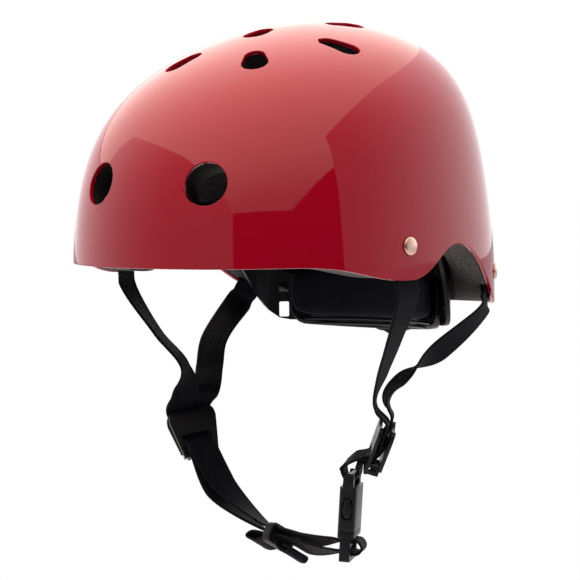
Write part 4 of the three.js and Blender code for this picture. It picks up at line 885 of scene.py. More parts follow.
@dataclass
class Shell:
    """The hard outer shell: one gloss moulding with vents, rivet holes and a shaped rim."""

    form: ShellForm
    vents: tuple = (Vent(23.5, -83, 21, 7, 5.2), Vent(48, -44.5, 23, 6.3, 4.8), Vent(26, -10, 21, 6.6, 5),
                    Vent(0, -50, 18, 6.8, 6))
    fan_y: float = -50
    round_radius: float = 11
    round_x: float = 34.5
    round_z: float = 41.7
    rivets: tuple = ((-52.9, 8.5), (47, -9.5))
    rivet_hole: float = 2.4
    lip: float = 0.45

    def surface_frame(self, x: float, y: float, direction: Vector) -> Matrix:
        """A frame on the crown: X along a direction, Z outwards."""
        turn, rise = self.form.above(np.array([[x, y]], float))
        p = self.form.points(turn, rise)[0]
        normal = Vector(self.form.normals(np.array([p]))[0])
        side = normal.cross(direction)
        return axes(Vector(in_part(p)), side.cross(normal), side)

    def wall_frame(self, y: float, z: float) -> Matrix:
        """A frame on the wearer's left wall: X to the rear, Z outwards."""
        p = self.form.wall_point(y, z)
        normal = Vector(self.form.normals(np.array([p]))[0])
        rear = Vector((0, 1, 0))
        rear -= normal * rear.dot(normal)
        return axes(Vector(in_part(p)), rear, normal.cross(rear))

    def cutters(self, room: float, reach: float) -> bpy.types.Object:
        """All the vents as one cutter.

        Args:
            room: How much wider than the vents it cuts, in millimetres.
            reach: How deep it goes, in millimetres.

        Returns:
            The cutter.
        """
        run = 8 * MM
        blocks = []
        for index, vent in enumerate(self.vents):
            away = Vector((vent.x, vent.y - self.fan_y, 0)) if vent.x else Vector((0, -1, 0))
            frame = self.surface_frame(vent.x, vent.y, away) @ Matrix.Translation((0, 0, -reach * MM))
            block = plate(f"vent_{index}", vent.outline(room), reach * MM + run, frame)
            blocks.append(block)
            if vent.x:
                blocks.append(mirrored(block, f"vent_{index}_far"))
        for end in (-1, 1):
            turn = np.array(end * math.pi / 2)
            rise = self.form.rise_at(self.round_z)
            for _ in range(30):
                turn = turn + end * (self.form.points(turn, rise)[..., 0] - self.round_x) / 97.9
            p = self.form.points(turn, rise)
            normal = Vector(self.form.normals(p[None])[0])
            up = Vector((0, 0, 1)) - normal * normal.z
            frame = axes(Vector(in_part(p)), up.cross(normal), up) @ Matrix.Translation((0, 0, -reach * MM))
            radius = (self.round_radius + room) * MM
            circle = [(radius * math.cos(a), radius * math.sin(a)) for a in np.arange(48) * math.tau / 48]
            block = plate(f"round_vent_{end}", circle, reach * MM + run, frame)
            blocks += [block, mirrored(block, f"round_vent_{end}_far")]
        return joined("vent_cutters", blocks)

    def holes(self, radius: float, depth: float) -> bpy.types.Object:
        """Bores at the four rivets as one cutter, in millimetres."""
        blocks = []
        circle = [(radius * MM * math.cos(a), radius * MM * math.sin(a)) for a in np.arange(24) * math.tau / 24]
        for index, (y, z) in enumerate(self.rivets):
            frame = self.wall_frame(y, z) @ Matrix.Translation((0, 0, -depth * MM))
            block = plate(f"bore_{index}", circle, (depth + 6) * MM, frame)
            blocks += [block, mirrored(block, f"bore_{index}_far")]
        return joined("bores", blocks)

    def tidy_cuts(self, obj: bpy.types.Object, distance: float) -> None:
        """Merges the slivers that the cuts leave along sharp edges."""
        merge(obj)
        in_edit(obj)
        bpy.ops.mesh.select_all(action="DESELECT")
        bpy.ops.mesh.select_mode(type="EDGE")
        bpy.ops.mesh.edges_select_sharp(sharpness=math.radians(40))
        bpy.ops.mesh.select_mode(type="VERT")
        bpy.ops.mesh.remove_doubles(threshold=distance)
        bpy.ops.mesh.select_all(action="SELECT")
        bpy.ops.mesh.dissolve_degenerate(threshold=1e-6)
        done()

    def gloss_normals(self, obj: bpy.types.Object) -> None:
        """Gives the outer skin the form's own directions, so reflections run smoothly over it."""
        mesh = obj.data
        points = on_form(coords(obj))
        count = len(mesh.polygons)
        centres, face_normals = np.empty(count * 3), np.empty(count * 3)
        mesh.polygons.foreach_get("center", centres)
        mesh.polygons.foreach_get("normal", face_normals)
        centres, face_normals = on_form(centres.reshape(-1, 3)), face_normals.reshape(-1, 3)
        aligned = (self.form.normals(centres) * face_normals).sum(1)
        skin = (aligned > 0.97) & (np.abs(self.form.gap(centres)) < 0.6)
        corner_vert = np.empty(len(mesh.loops), int)
        mesh.loops.foreach_get("vertex_index", corner_vert)
        totals = np.empty(count, int)
        mesh.polygons.foreach_get("loop_total", totals)
        corner_face = np.repeat(np.arange(count), totals)
        on_skin = np.zeros(len(points), bool)
        on_skin[corner_vert[skin[corner_face]]] = True
        custom = np.empty(len(mesh.loops) * 3)
        mesh.corner_normals.foreach_get("vector", custom)
        custom = custom.reshape(-1, 3)
        true = self.form.normals(points)[corner_vert]
        near = on_skin[corner_vert] & ((true * face_normals[corner_face]).sum(1) > 0.72)
        custom[near] = true[near]
        mesh.normals_split_custom_set(custom.tolist())

    def build(self, finishes: Finishes) -> bpy.types.Object:
        """Builds and dresses the shell."""
        obj = self.form.dome("shell_skin", 0, 144, 44, -40)
        boolean(obj, self.form.dome("bore", self.form.wall, 120, 36, -52), "DIFFERENCE")
        boolean(obj, self.form.above_rim(0), "INTERSECT")
        boolean(obj, self.cutters(0, 12), "DIFFERENCE")
        boolean(obj, self.holes(self.rivet_hole, 12), "DIFFERENCE")
        self.tidy_cuts(obj, 0.3 * MM)
        rounded(obj, self.lip * MM, segments=2, degrees=42, clamp=False)
        smooth(obj, 40)
        self.gloss_normals(obj)
        return finishes.dress(obj, Slot.SHELL, "helmet", "shell")


@dataclass
class Liner:
    """The dark foam liner inside the shell."""

    shell: Shell
    rise: float = 0.9
    edge: float = 0.9

    def build(self, finishes: Finishes, channels: bpy.types.Object) -> bpy.types.Object:
        """Builds and dresses the liner.

        Args:
            finishes: All the finishes.
            channels: A cutter for the webbing's channels.

        Returns:
            The liner.
        """
        form = self.shell.form
        face = form.wall + form.liner_gap
        obj = form.dome("foam_liner", face, 96, 28, -40)
        boolean(obj, form.dome("cavity", face + form.foam, 84, 24, -52), "DIFFERENCE")
        boolean(obj, form.above_rim(self.rise), "INTERSECT")
        boolean(obj, self.shell.cutters(0.6, 32), "DIFFERENCE")
        boolean(obj, channels, "DIFFERENCE")
        boolean(obj, self.shell.holes(7.4, 9), "DIFFERENCE")
        self.shell.tidy_cuts(obj, 0.4 * MM)
        rounded(obj, self.edge * MM, segments=2, degrees=45, clamp=True)
        smooth(obj, 40)
        return finishes.dress(obj, Slot.FOAM, "helmet", "liner")


# Padding


@dataclass
class Padding:
    """A foam pad under brushed cloth, swelled by a short cloth simulation."""

    node: str
    body: str
    slot: Slot
    cap: float
    pressure: float = 3.0
    voxel: float = 2.0
    pinch: float = 0.35

    def build(self, finishes: Finishes, nodes: dict) -> bpy.types.Object:
        """Builds and dresses the pad."""
        obj = linked(f"{self.node}_cloth", nodes[self.node].data.copy())
        only(obj)
        bpy.ops.mesh.customdata_custom_splitnormals_clear()
        merge(obj)
        start = coords(obj)
        apply(obj, "REMESH", mode="VOXEL", voxel_size=self.voxel * MM)
        apply(obj, "SMOOTH", factor=0.5, iterations=4)
        self.swell(obj)
        apply(obj, "SUBSURF", levels=1, render_levels=1)
        low, high = start.min(0), start.max(0)
        room = 0.6 * MM
        set_coords(obj, np.clip(coords(obj), low - room, high + room))
        self.seam(obj)
        smooth(obj, 60)
        return finishes.dress(obj, self.slot, self.body, self.node)

    def swell(self, obj: bpy.types.Object) -> None:
        """Inflates the pad a little with Cloth and caps how far each point may go."""
        before = coords(obj)
        only(obj)
        cloth = obj.modifiers.new("cloth", "CLOTH")
        cloth.settings.use_pressure = True
        cloth.settings.uniform_pressure_force = self.pressure
        cloth.settings.effector_weights.gravity = 0
        cloth.settings.quality = 4
        scene = bpy.context.scene
        for frame in range(1, 13):
            scene.frame_set(frame)
        bpy.ops.object.modifier_apply(modifier=cloth.name)
        scene.frame_set(1)
        shift = coords(obj) - before
        length = np.maximum(np.linalg.norm(shift, axis=1), 1e-9)
        limit = np.minimum(length, self.cap * MM) / length
        set_coords(obj, before + shift * limit[:, None])

    def seam(self, obj: bpy.types.Object) -> None:
        """Draws in a sewn seam a little inside the pad's outline."""
        points = coords(obj)
        middle = points.mean(0)
        centred = points - middle
        _, _, main = np.linalg.svd(centred, full_matrices=False)
        flat = centred @ main.T
        half = np.abs(flat).max(0)
        reach = np.maximum(np.abs(flat[:, 0]) / half[0], np.abs(flat[:, 1]) / half[1])
        groove = np.exp(-((reach - 0.86) / 0.035) ** 2) * self.pinch * MM
        normals = np.empty(len(points) * 3)
        obj.data.vertices.foreach_get("normal", normals)
        set_coords(obj, points - normals.reshape(-1, 3) * groove[:, None])


# Webbing


@dataclass(frozen=True)
class Route:
    """One length of webbing: its stations, each a point in millimetres and the direction across it."""

    name: str
    node: str
    stations: tuple

    @staticmethod
    def spline(rows: np.ndarray, t: np.ndarray) -> np.ndarray:
        """Points of a centripetal curve through the rows, at shares t of its stations."""
        rows = np.vstack([2 * rows[0] - rows[1], rows, 2 * rows[-1] - rows[-2]])
        place = t * (len(rows) - 3)
        at = np.minimum(place.astype(int), len(rows) - 4)
        w = (place - at)[:, None]
        p0, p1, p2, p3 = (rows[at + i] for i in range(4))

        def pace(a: np.ndarray, b: np.ndarray) -> np.ndarray:
            """Root of the distance between rows."""
            return np.sqrt(np.linalg.norm(a - b, axis=1))[:, None]

        d1 = pace(p1, p2)
        d1 = np.where(d1 < 1e-4, 1, d1)
        d0, d2 = pace(p0, p1), pace(p2, p3)
        d0, d2 = np.where(d0 < 1e-4, d1, d0), np.where(d2 < 1e-4, d1, d2)
        m1 = ((p1 - p0) / d0 - (p2 - p0) / (d0 + d1) + (p2 - p1) / d1) * d1
        m2 = ((p2 - p1) / d1 - (p3 - p1) / (d1 + d2) + (p3 - p2) / d2) * d1
        return (p1 + m1 * w + (-3 * p1 + 3 * p2 - 2 * m1 - m2) * w ** 2
                + (2 * p1 - 2 * p2 + m1 + m2) * w ** 3)

    def frames(self, steps: int, first: float = 0, last: float = 1) -> tuple:
        """Centre points, directions along, across and out, at even shares of the stations."""
        rows = np.array(self.stations, float)
        t = np.linspace(first, last, steps)
        at = self.spline(rows[:, :3], t)
        ahead = self.spline(rows[:, :3], np.minimum(t + 1e-4, 1))
        behind = self.spline(rows[:, :3], np.maximum(t - 1e-4, 0))
        run = ahead - behind
        run /= np.linalg.norm(run, axis=1)[:, None]
        leans = rows[:, 3:] / np.linalg.norm(rows[:, 3:], axis=1)[:, None]
        across = self.spline(leans, t)
        across -= run * (across * run).sum(1)[:, None]
        across /= np.linalg.norm(across, axis=1)[:, None]
        return at * MM, run, across, np.cross(run, across)


@dataclass
class Webbing:
    """Flat woven webbing laid along a route, with rounded bound edges and a map in millimetres."""

    route: Route
    width: float = 15
    thick: float = 1.4
    steps: int = 520

    def section(self) -> list:
        """The webbing's section, anticlockwise: a flat band with round edges and a raised selvage."""
        w, h = self.width / 2, self.thick / 2
        half = [(w - 1.9, h * 0.86), (w - 1.3, h), (w - 0.7, h * 0.97), (w - 0.2, h * 0.6)]
        top = [(0, h * 0.84), (w * 0.5, h * 0.84), *half]
        right = [*top, (w, 0), *[(x, -y) for x, y in reversed(top)]]
        return right + [(-x, y) for x, y in reversed(right[1:-1])]

    def build(self, name: str, first: float = 0, last: float = 1, grow: tuple = (0, 0)) -> bpy.types.Object:
        """Makes the ribbon.

        Args:
            name: The object's name.
            first: Where along the stations it starts, as a share.
            last: Where it ends.
            grow: Extra half width and half thickness, in millimetres, for a cutter.

        Returns:
            The ribbon.
        """
        section = np.array(self.section())
        section += np.sign(section) * grow
        at, _, across, out = self.route.frames(self.steps, first, last)
        ring = (at[:, None] + across[:, None] * section[None, :, :1] * MM + out[:, None] * section[None, :, 1:] * MM)
        rows, count = ring.shape[:2]
        faces = [(r * count + i, r * count + (i + 1) % count, (r + 1) * count + (i + 1) % count,
                  (r + 1) * count + i) for r in range(rows - 1) for i in range(count)]
        faces += [tuple(range(count))[::-1], tuple((rows - 1) * count + i for i in range(count))]
        mesh = bpy.data.meshes.new(name)
        mesh.from_pydata(ring.reshape(-1, 3).tolist(), [], faces)
        obj = linked(name, mesh)
        length = np.concatenate([[0], np.cumsum(np.linalg.norm(np.diff(at, axis=0), axis=1))]) / MM
        girth = np.concatenate([[0], np.cumsum(np.linalg.norm(np.diff(section, axis=0, append=section[:1]), axis=1))])
        layer = mesh.uv_layers.new(name="UVMap")
        corner_vert = np.empty(len(mesh.loops), int)
        mesh.loops.foreach_get("vertex_index", corner_vert)
        row, column = corner_vert // count, corner_vert % count
        across_mm = girth[column]
        face_of = np.repeat(np.arange(len(mesh.polygons)), [len(f) for f in faces])
        wraps = (column == 0) & (face_of % count == count - 1)
        across_mm = np.where(wraps, girth[-1], across_mm)
        layer.data.foreach_set("uv", np.stack([across_mm, length[row]], -1).ravel())
        merge_free_normals(obj)
        return obj


def merge_free_normals(obj: bpy.types.Object) -> None:
    """Turns a mesh's faces outwards and shades it smooth."""
    in_edit(obj)
    bpy.ops.mesh.normals_make_consistent(inside=False)
    done()
    smooth(obj, 50)


ROUTES = {
    "left_webbing": (
        (91.9, -52.9, -80.4, .15, .99, .00), (92.3, -52.9, -89.4, .15, .99, .00),
        (92.9, -52.0, -106.6, .15, .99, .00), (93.1, -50.1, -114.1, .14, .99, .00),
        (80.4, -45.5, -139.6, -.09, .99, .05), (70.6, -42.1, -157.2, -.27, .96, .10),
        (63.8, -38.6, -172.9, -.57, .80, .16), (69.8, -36.7, -181.6, -.57, .80, .16),
        (66.5, -36.3, -188.0, -.57, .80, .16), (61.6, -34.1, -194.2, -.57, .80, .16),
        (57.4, -36.2, -197.3, -.57, .80, .16), (51.2, -40.2, -199.3, -.57, .80, .16),
        (44.4, -40.1, -204.2, -.45, .89, .00), (44.8, -39.8, -208.7, -.45, .89, .00),
        (46.1, -39.2, -210.4, -.45, .89, .00), (47.9, -38.2, -211.6, -.45, .89, .00),
        (49.9, -37.2, -210.7, -.45, .89, .00), (51.3, -36.5, -206.1, -.45, .89, .00),
        (52.7, -38.7, -201.4, -.57, .80, .16), (58.1, -35.1, -199.9, -.57, .80, .16),
        (62.7, -31.8, -194.8, -.57, .80, .16), (63.3, -28.5, -187.4, -.57, .80, .16),
        (65.3, -27.0, -180.6, -.57, .80, .16), (61.5, -23.6, -171.2, -.57, .80, .16),
        (58.9, -6.5, -159.9, -.91, .42, .00), (71.4, 10.6, -146.6, -.08, .78, -.62),
        (83.0, 33.4, -126.9, -.32, .90, -.29), (81.4, 36.5, -122.4, -.44, .90, .00),
        (78.7, 41.8, -114.9, -.49, .87, .00), (75.5, 47.0, -107.4, -.54, .84, .00),
        (71.0, 53.3, -98.4, -.59, .80, .00),
    ),
    "chin_webbing": (
        (-91.9, -52.9, -80.4, -.15, .99, .00), (-92.3, -52.9, -89.4, -.15, .99, .00),
        (-92.9, -52.0, -106.6, -.15, .99, .00), (-93.1, -50.1, -114.1, -.14, .99, .00),
        (-76.4, -45.5, -139.6, -.41, .91, .00), (-60.6, -42.1, -157.2, -.41, .91, .05),
        (-63.8, -38.6, -172.9, .57, .80, .16), (-69.8, -36.7, -181.6, .57, .80, .16),
        (-66.5, -36.3, -188.0, .57, .80, .16), (-61.6, -34.1, -194.2, .57, .80, .16),
        (-57.4, -36.2, -197.3, .57, .80, .16), (-51.2, -40.2, -199.3, .57, .80, .16),
        (-40.6, -34.2, -221.2, .41, .90, -.15), (-15.2, -27.5, -243.5, .13, .86, -.50),
        (-8.9, -29.3, -244.9, .13, .86, -.50), (-1.4, -30.3, -244.6, .13, .86, -.50),
        (17.5, -37.2, -245.5, -.18, .82, -.54), (40.3, -42.1, -242.6, -.44, .87, -.22),
        (46.0, -39.2, -243.3, -.45, .89, .00), (51.2, -36.6, -243.1, -.45, .89, .00),
        (52.9, -35.7, -246.5, -.45, .89, .00), (50.8, -36.8, -249.5, -.45, .89, .00),
        (45.6, -39.4, -248.5, -.45, .89, .00), (40.0, -42.3, -248.4, -.44, .87, -.22),
        (17.3, -38.2, -249.8, -.18, .82, -.54), (-1.6, -32.1, -247.9, .13, .86, -.50),
        (-9.0, -31.1, -248.1, .13, .86, -.50), (-21.4, -29.3, -248.1, .13, .86, -.50),
        (-23.7, -30.3, -250.3, .13, .86, -.50), (-17.1, -32.1, -251.7, .13, .86, -.50),
        (-9.1, -32.1, -249.7, .13, .86, -.50), (-4.1, -32.8, -249.7, .13, .86, -.50),
        (4.3, -36.9, -254.5, .13, .86, -.50), (11.0, -38.3, -255.3, .13, .86, -.50),
        (11.8, -37.3, -253.4, .13, .86, -.50), (5.2, -35.5, -252.0, .13, .86, -.50),
    ),
    "right_rear_webbing": (
        (-71.0, 53.3, -98.4, .59, .80, .00), (-75.5, 47.0, -107.4, .54, .84, .00),
        (-78.7, 41.8, -114.9, .49, .87, .00), (-81.4, 36.5, -122.4, .44, .90, .00),
        (-83.0, 33.4, -126.9, .42, .91, .00), (-76.1, 1.6, -146.6, .75, .66, .00),
        (-68.7, -11.5, -159.9, .75, .66, .00), (-61.5, -23.6, -171.2, .57, .80, .16),
        (-65.3, -27.0, -180.6, .57, .80, .16), (-63.3, -28.5, -187.4, .57, .80, .16),
        (-62.7, -31.8, -194.8, .57, .80, .16), (-58.1, -35.1, -199.9, .57, .80, .16),
        (-52.7, -38.7, -201.4, .57, .80, .16), (-44.6, -33.7, -226.2, .41, .90, -.15),
        (-15.3, -28.9, -245.8, .13, .86, -.50), (-8.9, -30.2, -246.5, .13, .86, -.50),
        (-3.5, -30.9, -246.3, .13, .86, -.50),
    ),
}


# Moulded and pressed pieces


@dataclass
class Moulding:
    """A moulded piece: the CAD node's own form with its edges rounded as a mould leaves them."""

    node: str
    body: str
    slot: Slot
    lip: float = 0.35
    segments: int = 2
    degrees: float = 30
    name: str = ""

    def build(self, finishes: Finishes, nodes: dict) -> bpy.types.Object:
        """Builds and dresses the piece."""
        obj = linked(self.name or f"{self.node}_moulded", nodes[self.node].data.copy())
        only(obj)
        bpy.ops.mesh.customdata_custom_splitnormals_clear()
        merge(obj, 2e-6)
        in_edit(obj)
        bpy.ops.mesh.dissolve_limited(angle_limit=math.radians(0.6))
        done()
        rounded(obj, self.lip * MM, self.segments, self.degrees)
        smooth(obj, 32)
        return finishes.dress(obj, self.slot, self.body, self.node)


@dataclass
class Rivets:
    """The four domed rivets, turned once and copied."""

    shell: Shell
    head: float = 4.6
    thick: float = 1.4
    shank: float = 2.1
    seat: float = 0.3
    stack: float = 6.54

    def profile(self) -> list:
        """The rivet's half section as (radius, height), in millimetres, from its foot up."""
        foot = -self.stack - 0.7
        flare = 1.5 * self.shank
        base, top = self.seat, self.seat + self.thick
        bend = [(self.head - 0.5 + 0.5 * math.cos(a), base + 0.35 + 0.35 * math.sin(a))
                for a in np.linspace(-1.4, 0.9, 6)]
        crown = [(self.head * s, top - (top - base - 0.62) * s ** 2.6) for s in (0.88, 0.72, 0.52, 0.3, 0.12)]
        return [(0, foot), (flare - 0.2, foot), (flare, foot + 0.2), (flare, -self.stack),
                (self.shank, -self.stack), (self.shank, base), (self.head - 0.5, base), *bend, *crown, (0, top)]

    def turned(self, name: str) -> bpy.types.Object:
        """Spins the profile into a closed rivet about Z."""
        profile = self.profile()
        mesh = bpy.data.meshes.new(name)
        mesh.from_pydata([(r * MM, 0, z * MM) for r, z in profile], [(i, i + 1) for i in range(len(profile) - 1)],
                         [])
        obj = linked(name, mesh)
        in_edit(obj)
        bpy.ops.mesh.spin(steps=40, angle=math.tau, center=(0, 0, 0), axis=(0, 0, 1))
        bpy.ops.mesh.select_all(action="SELECT")
        bpy.ops.mesh.remove_doubles(threshold=1e-6)
        bpy.ops.mesh.normals_make_consistent(inside=False)
        done()
        smooth(obj, 45)
        return obj

    def build(self, finishes: Finishes) -> list:
        """Builds and dresses all four."""
        made = []
        for place, (y, z) in zip(("front", "rear"), self.shell.rivets):
            rivet = self.turned(f"left_{place}_rivet_head")
            rivet.data.transform(self.shell.wall_frame(y, z))
            far = mirrored(rivet, f"right_{place}_rivet_head")
            made += [finishes.dress(rivet, Slot.RIVET, "helmet", f"left_{place}_rivet"),
                     finishes.dress(far, Slot.RIVET, "helmet", f"right_{place}_rivet")]
        return made


@dataclass
class BuckleButtons:
    """The buckle's two oval side buttons and the recess that shows round them, in millimetres."""

    centre: tuple = (48.2, -38.1, -207.2)
    up: tuple = (0.0622, 0.0317, 0.9976)
    face: tuple = (0.8888, 0.4529, -0.0698)
    level: float = -18.2
    out: float = 11.5
    half_size: tuple = (5.2, 2.1, 0.9)
    room: float = 0.6
    half_reach: float = 14

    def frame(self, across: float) -> Matrix:
        """A frame at the buttons' level: X up the buckle, Z across it towards the rear."""
        up, face = Vector(self.up), Vector(self.face)
        place = Vector(self.centre) + self.level * up + across * up.cross(face)
        return axes(place * MM, up, face)

    def recess(self) -> bpy.types.Object:
        """The oval opening through both of the socket's sides, as a cutter."""
        half_long, half_wide = (half + self.room for half in self.half_size[:2])
        straight = half_long - half_wide
        outline = [((math.copysign(straight, math.cos(a)) + half_wide * math.cos(a)) * MM,
                    half_wide * math.sin(a) * MM) for a in (np.arange(32) + 0.5) * math.tau / 32]
        return plate("button_recess", outline, 2 * self.half_reach * MM, self.frame(-self.half_reach))

    def build(self, finishes: Finishes) -> None:
        """Builds and dresses both buttons."""
        for name, side in (("rear", 1), ("front", -1)):
            bpy.ops.object.select_all(action="DESELECT")
            bpy.ops.mesh.primitive_uv_sphere_add(segments=48, ring_count=24, radius=1)
            button = bpy.context.object
            button.name = f"buckle_{name}_button"
            unit = coords(button)
            girth = 1 + 0.12 * np.sin(2 * np.arctan2(unit[:, 1], unit[:, 0])) ** 2
            unit[:, :2] *= girth[:, None]
            set_coords(button, unit * np.array(self.half_size) * MM)
            button.data.transform(self.frame(side * self.out))
            smooth(button, 60)
            finishes.dress(button, Slot.SATIN, "plug")


@dataclass
class Harness:
    """The webbing with its dividers, buckle and keeper."""

    shell: Shell
    channel_room: tuple = (1.2, 1.9)
    fixed_end: tuple = (0.004, -0.033, -0.2475)
    plug_end: tuple = (0.037, -0.041, -0.2455)

    def route(self, node: str) -> Route:
        """The route of one length of webbing."""
        return Route(f"{node}_band", node, ROUTES[node])

    def channels(self) -> bpy.types.Object:
        """The room that the webbing takes in the liner, as one cutter."""
        spans = [("left_webbing", 0, 3), ("left_webbing", 26, 30), ("chin_webbing", 0, 3),
                 ("right_rear_webbing", 0, 4)]
        made = []
        for index, (node, start, end) in enumerate(spans):
            route = self.route(node)
            last = len(route.stations) - 1
            webbing = Webbing(route, steps=24)
            made.append(webbing.build(f"channel_{index}", start / last, end / last, self.channel_room))
        return joined("channels", made)

    def build(self, finishes: Finishes, nodes: dict) -> None:
        """Builds and dresses the whole harness."""
        for node, steps in (("left_webbing", 620), ("chin_webbing", 820), ("right_rear_webbing", 300)):
            band = Webbing(self.route(node), steps=steps).build(f"{node}_band")
            blended = node == "chin_webbing"
            finishes.dress(band, Slot.WEBBING, "" if blended else "helmet", node)
            if blended:
                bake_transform(band)
        for side in ("left", "right"):
            Moulding(f"{side}_divider", "helmet", Slot.SATIN, 0.85, 3).build(finishes, nodes)
            Moulding(f"{side}_divider_lever", f"{side}_lever", Slot.SATIN, 0.85, 3).build(finishes, nodes)
        buttons = BuckleButtons()
        socket = Moulding("buckle_socket", "helmet", Slot.SATIN, 0.7, 3).build(finishes, nodes)
        boolean(socket, buttons.recess(), "DIFFERENCE")
        buttons.build(finishes)
        for node in ("buckle_prong", "buckle_rear_arm", "buckle_front_arm"):
            Moulding(node, "plug", Slot.SATIN, 0.45, 3).build(finishes, nodes)
        Moulding("strap_keeper", "keeper", Slot.KEEPER, 0.5, 3).build(finishes, nodes)


@dataclass
class Cushion:
    """The cradle's plump cloth cushion, laid round the cradle's arc, in millimetres."""

    centre_y: float = -26
    radius: float = 76.3
    along: float = 82
    level: float = -121.8
    half_length: float = 53.4
    half_height: float = 12.9
    half_thick: float = 4.3
    squareness: float = 5.0

    def build(self, finishes: Finishes) -> bpy.types.Object:
        """Builds and dresses the cushion."""
        bpy.ops.object.select_all(action="DESELECT")
        bpy.ops.mesh.primitive_uv_sphere_add(segments=144, ring_count=64, radius=1)
        obj = bpy.context.object
        obj.name = "cradle_cushion"
        unit = coords(obj)
        turn = np.arctan2(unit[:, 1], unit[:, 0])
        rise = np.arcsin(np.clip(unit[:, 2], -1, 1))
        reach = (np.abs(np.cos(turn)) ** self.squareness + np.abs(np.sin(turn)) ** self.squareness)
        reach **= -1 / self.squareness
        spread = np.maximum(np.cos(rise), 0) ** 0.5
        run = self.half_length * reach * np.cos(turn) * spread
        up = self.half_height * reach * np.sin(turn) * spread
        swell = np.sin(5 * run / self.half_length + 0.7) * 0.25 + np.sin(11 * run / self.half_length) * 0.12
        out = np.sign(rise) * np.abs(np.sin(rise)) ** 0.75 * (self.half_thick + swell)
        seam = np.exp(-((np.abs(rise) - 0.16) / 0.05) ** 2) * 0.5
        up -= np.sign(up) * seam * 0.4
        angle = run / self.along
        points = np.stack([(self.radius + out) * np.sin(angle), self.centre_y + (self.radius + out) * np.cos(angle),
                           self.level + up], -1)
        set_coords(obj, points * MM)
        smooth(obj, 60)
        return finishes.dress(obj, Slot.CRADLE_PAD, "cradle", "cradle_pad")


@dataclass
class Bead:
    """A glossy rounded bead along the cradle frame's lower edge, in millimetres."""

    level: float
    centre_y: float = -26
    radius: float = 79.6
    thick: float = 0.9
    half_turn: float = 0.57
    steps: int = 96
    sides: int = 12

    def build(self, name: str, finishes: Finishes) -> bpy.types.Object:
        """Builds and dresses the bead."""
        turn = np.linspace(-self.half_turn, self.half_turn, self.steps)[:, None]
        round_it = np.arange(self.sides)[None] * math.tau / self.sides
        taper = np.sqrt(np.clip(1 - (np.abs(turn) / self.half_turn) ** 16, 0.05, 1))
        reach = self.radius + self.thick * taper * np.cos(round_it)
        rise = self.level + self.thick * taper * np.sin(round_it)
        rings = np.stack([reach * np.sin(turn), self.centre_y + reach * np.cos(turn), rise], -1)
        count = self.sides
        faces = [(r * count + i, r * count + (i + 1) % count, (r + 1) * count + (i + 1) % count,
                  (r + 1) * count + i) for r in range(self.steps - 1) for i in range(count)]
        faces += [tuple(range(count))[::-1], tuple((self.steps - 1) * count + i for i in range(count))]
        mesh = bpy.data.meshes.new(name)
        mesh.from_pydata((rings.reshape(-1, 3) * MM).tolist(), [], faces)
        obj = linked(name, mesh)
        merge_free_normals(obj)
        return finishes.dress(obj, Slot.FRAME, "cradle")


@dataclass
class Cradle:
    """The rear cradle: frame, pad, cover, arms, studs and size dial."""

    def build(self, finishes: Finishes, nodes: dict) -> None:
        """Builds and dresses the cradle."""
        Moulding("cradle_frame", "cradle", Slot.FRAME, 0.6, 3).build(finishes, nodes)
        Moulding("cradle_cover", "cradle", Slot.FRAME, 0.6, 3).build(finishes, nodes)
        Cushion().build(finishes)
        Bead(-136.6).build("upper_bead", finishes)
        Bead(-139.1, half_turn=0.5).build("lower_bead", finishes)
        for side in ("left", "right"):
            Moulding(f"{side}_arm", f"{side}_side_arm", Slot.SATIN, 0.4, 2).build(finishes, nodes)
            Moulding(f"{side}_stud", "studs", Slot.SATIN, 0.4, 2).build(finishes, nodes)
        Moulding("dial_pinion", "dial", Slot.SATIN, 0.15, 1).build(finishes, nodes)
        Moulding("dial_knob", "dial", Slot.KNOB, 0.5, 3).build(finishes, nodes)


# Studio


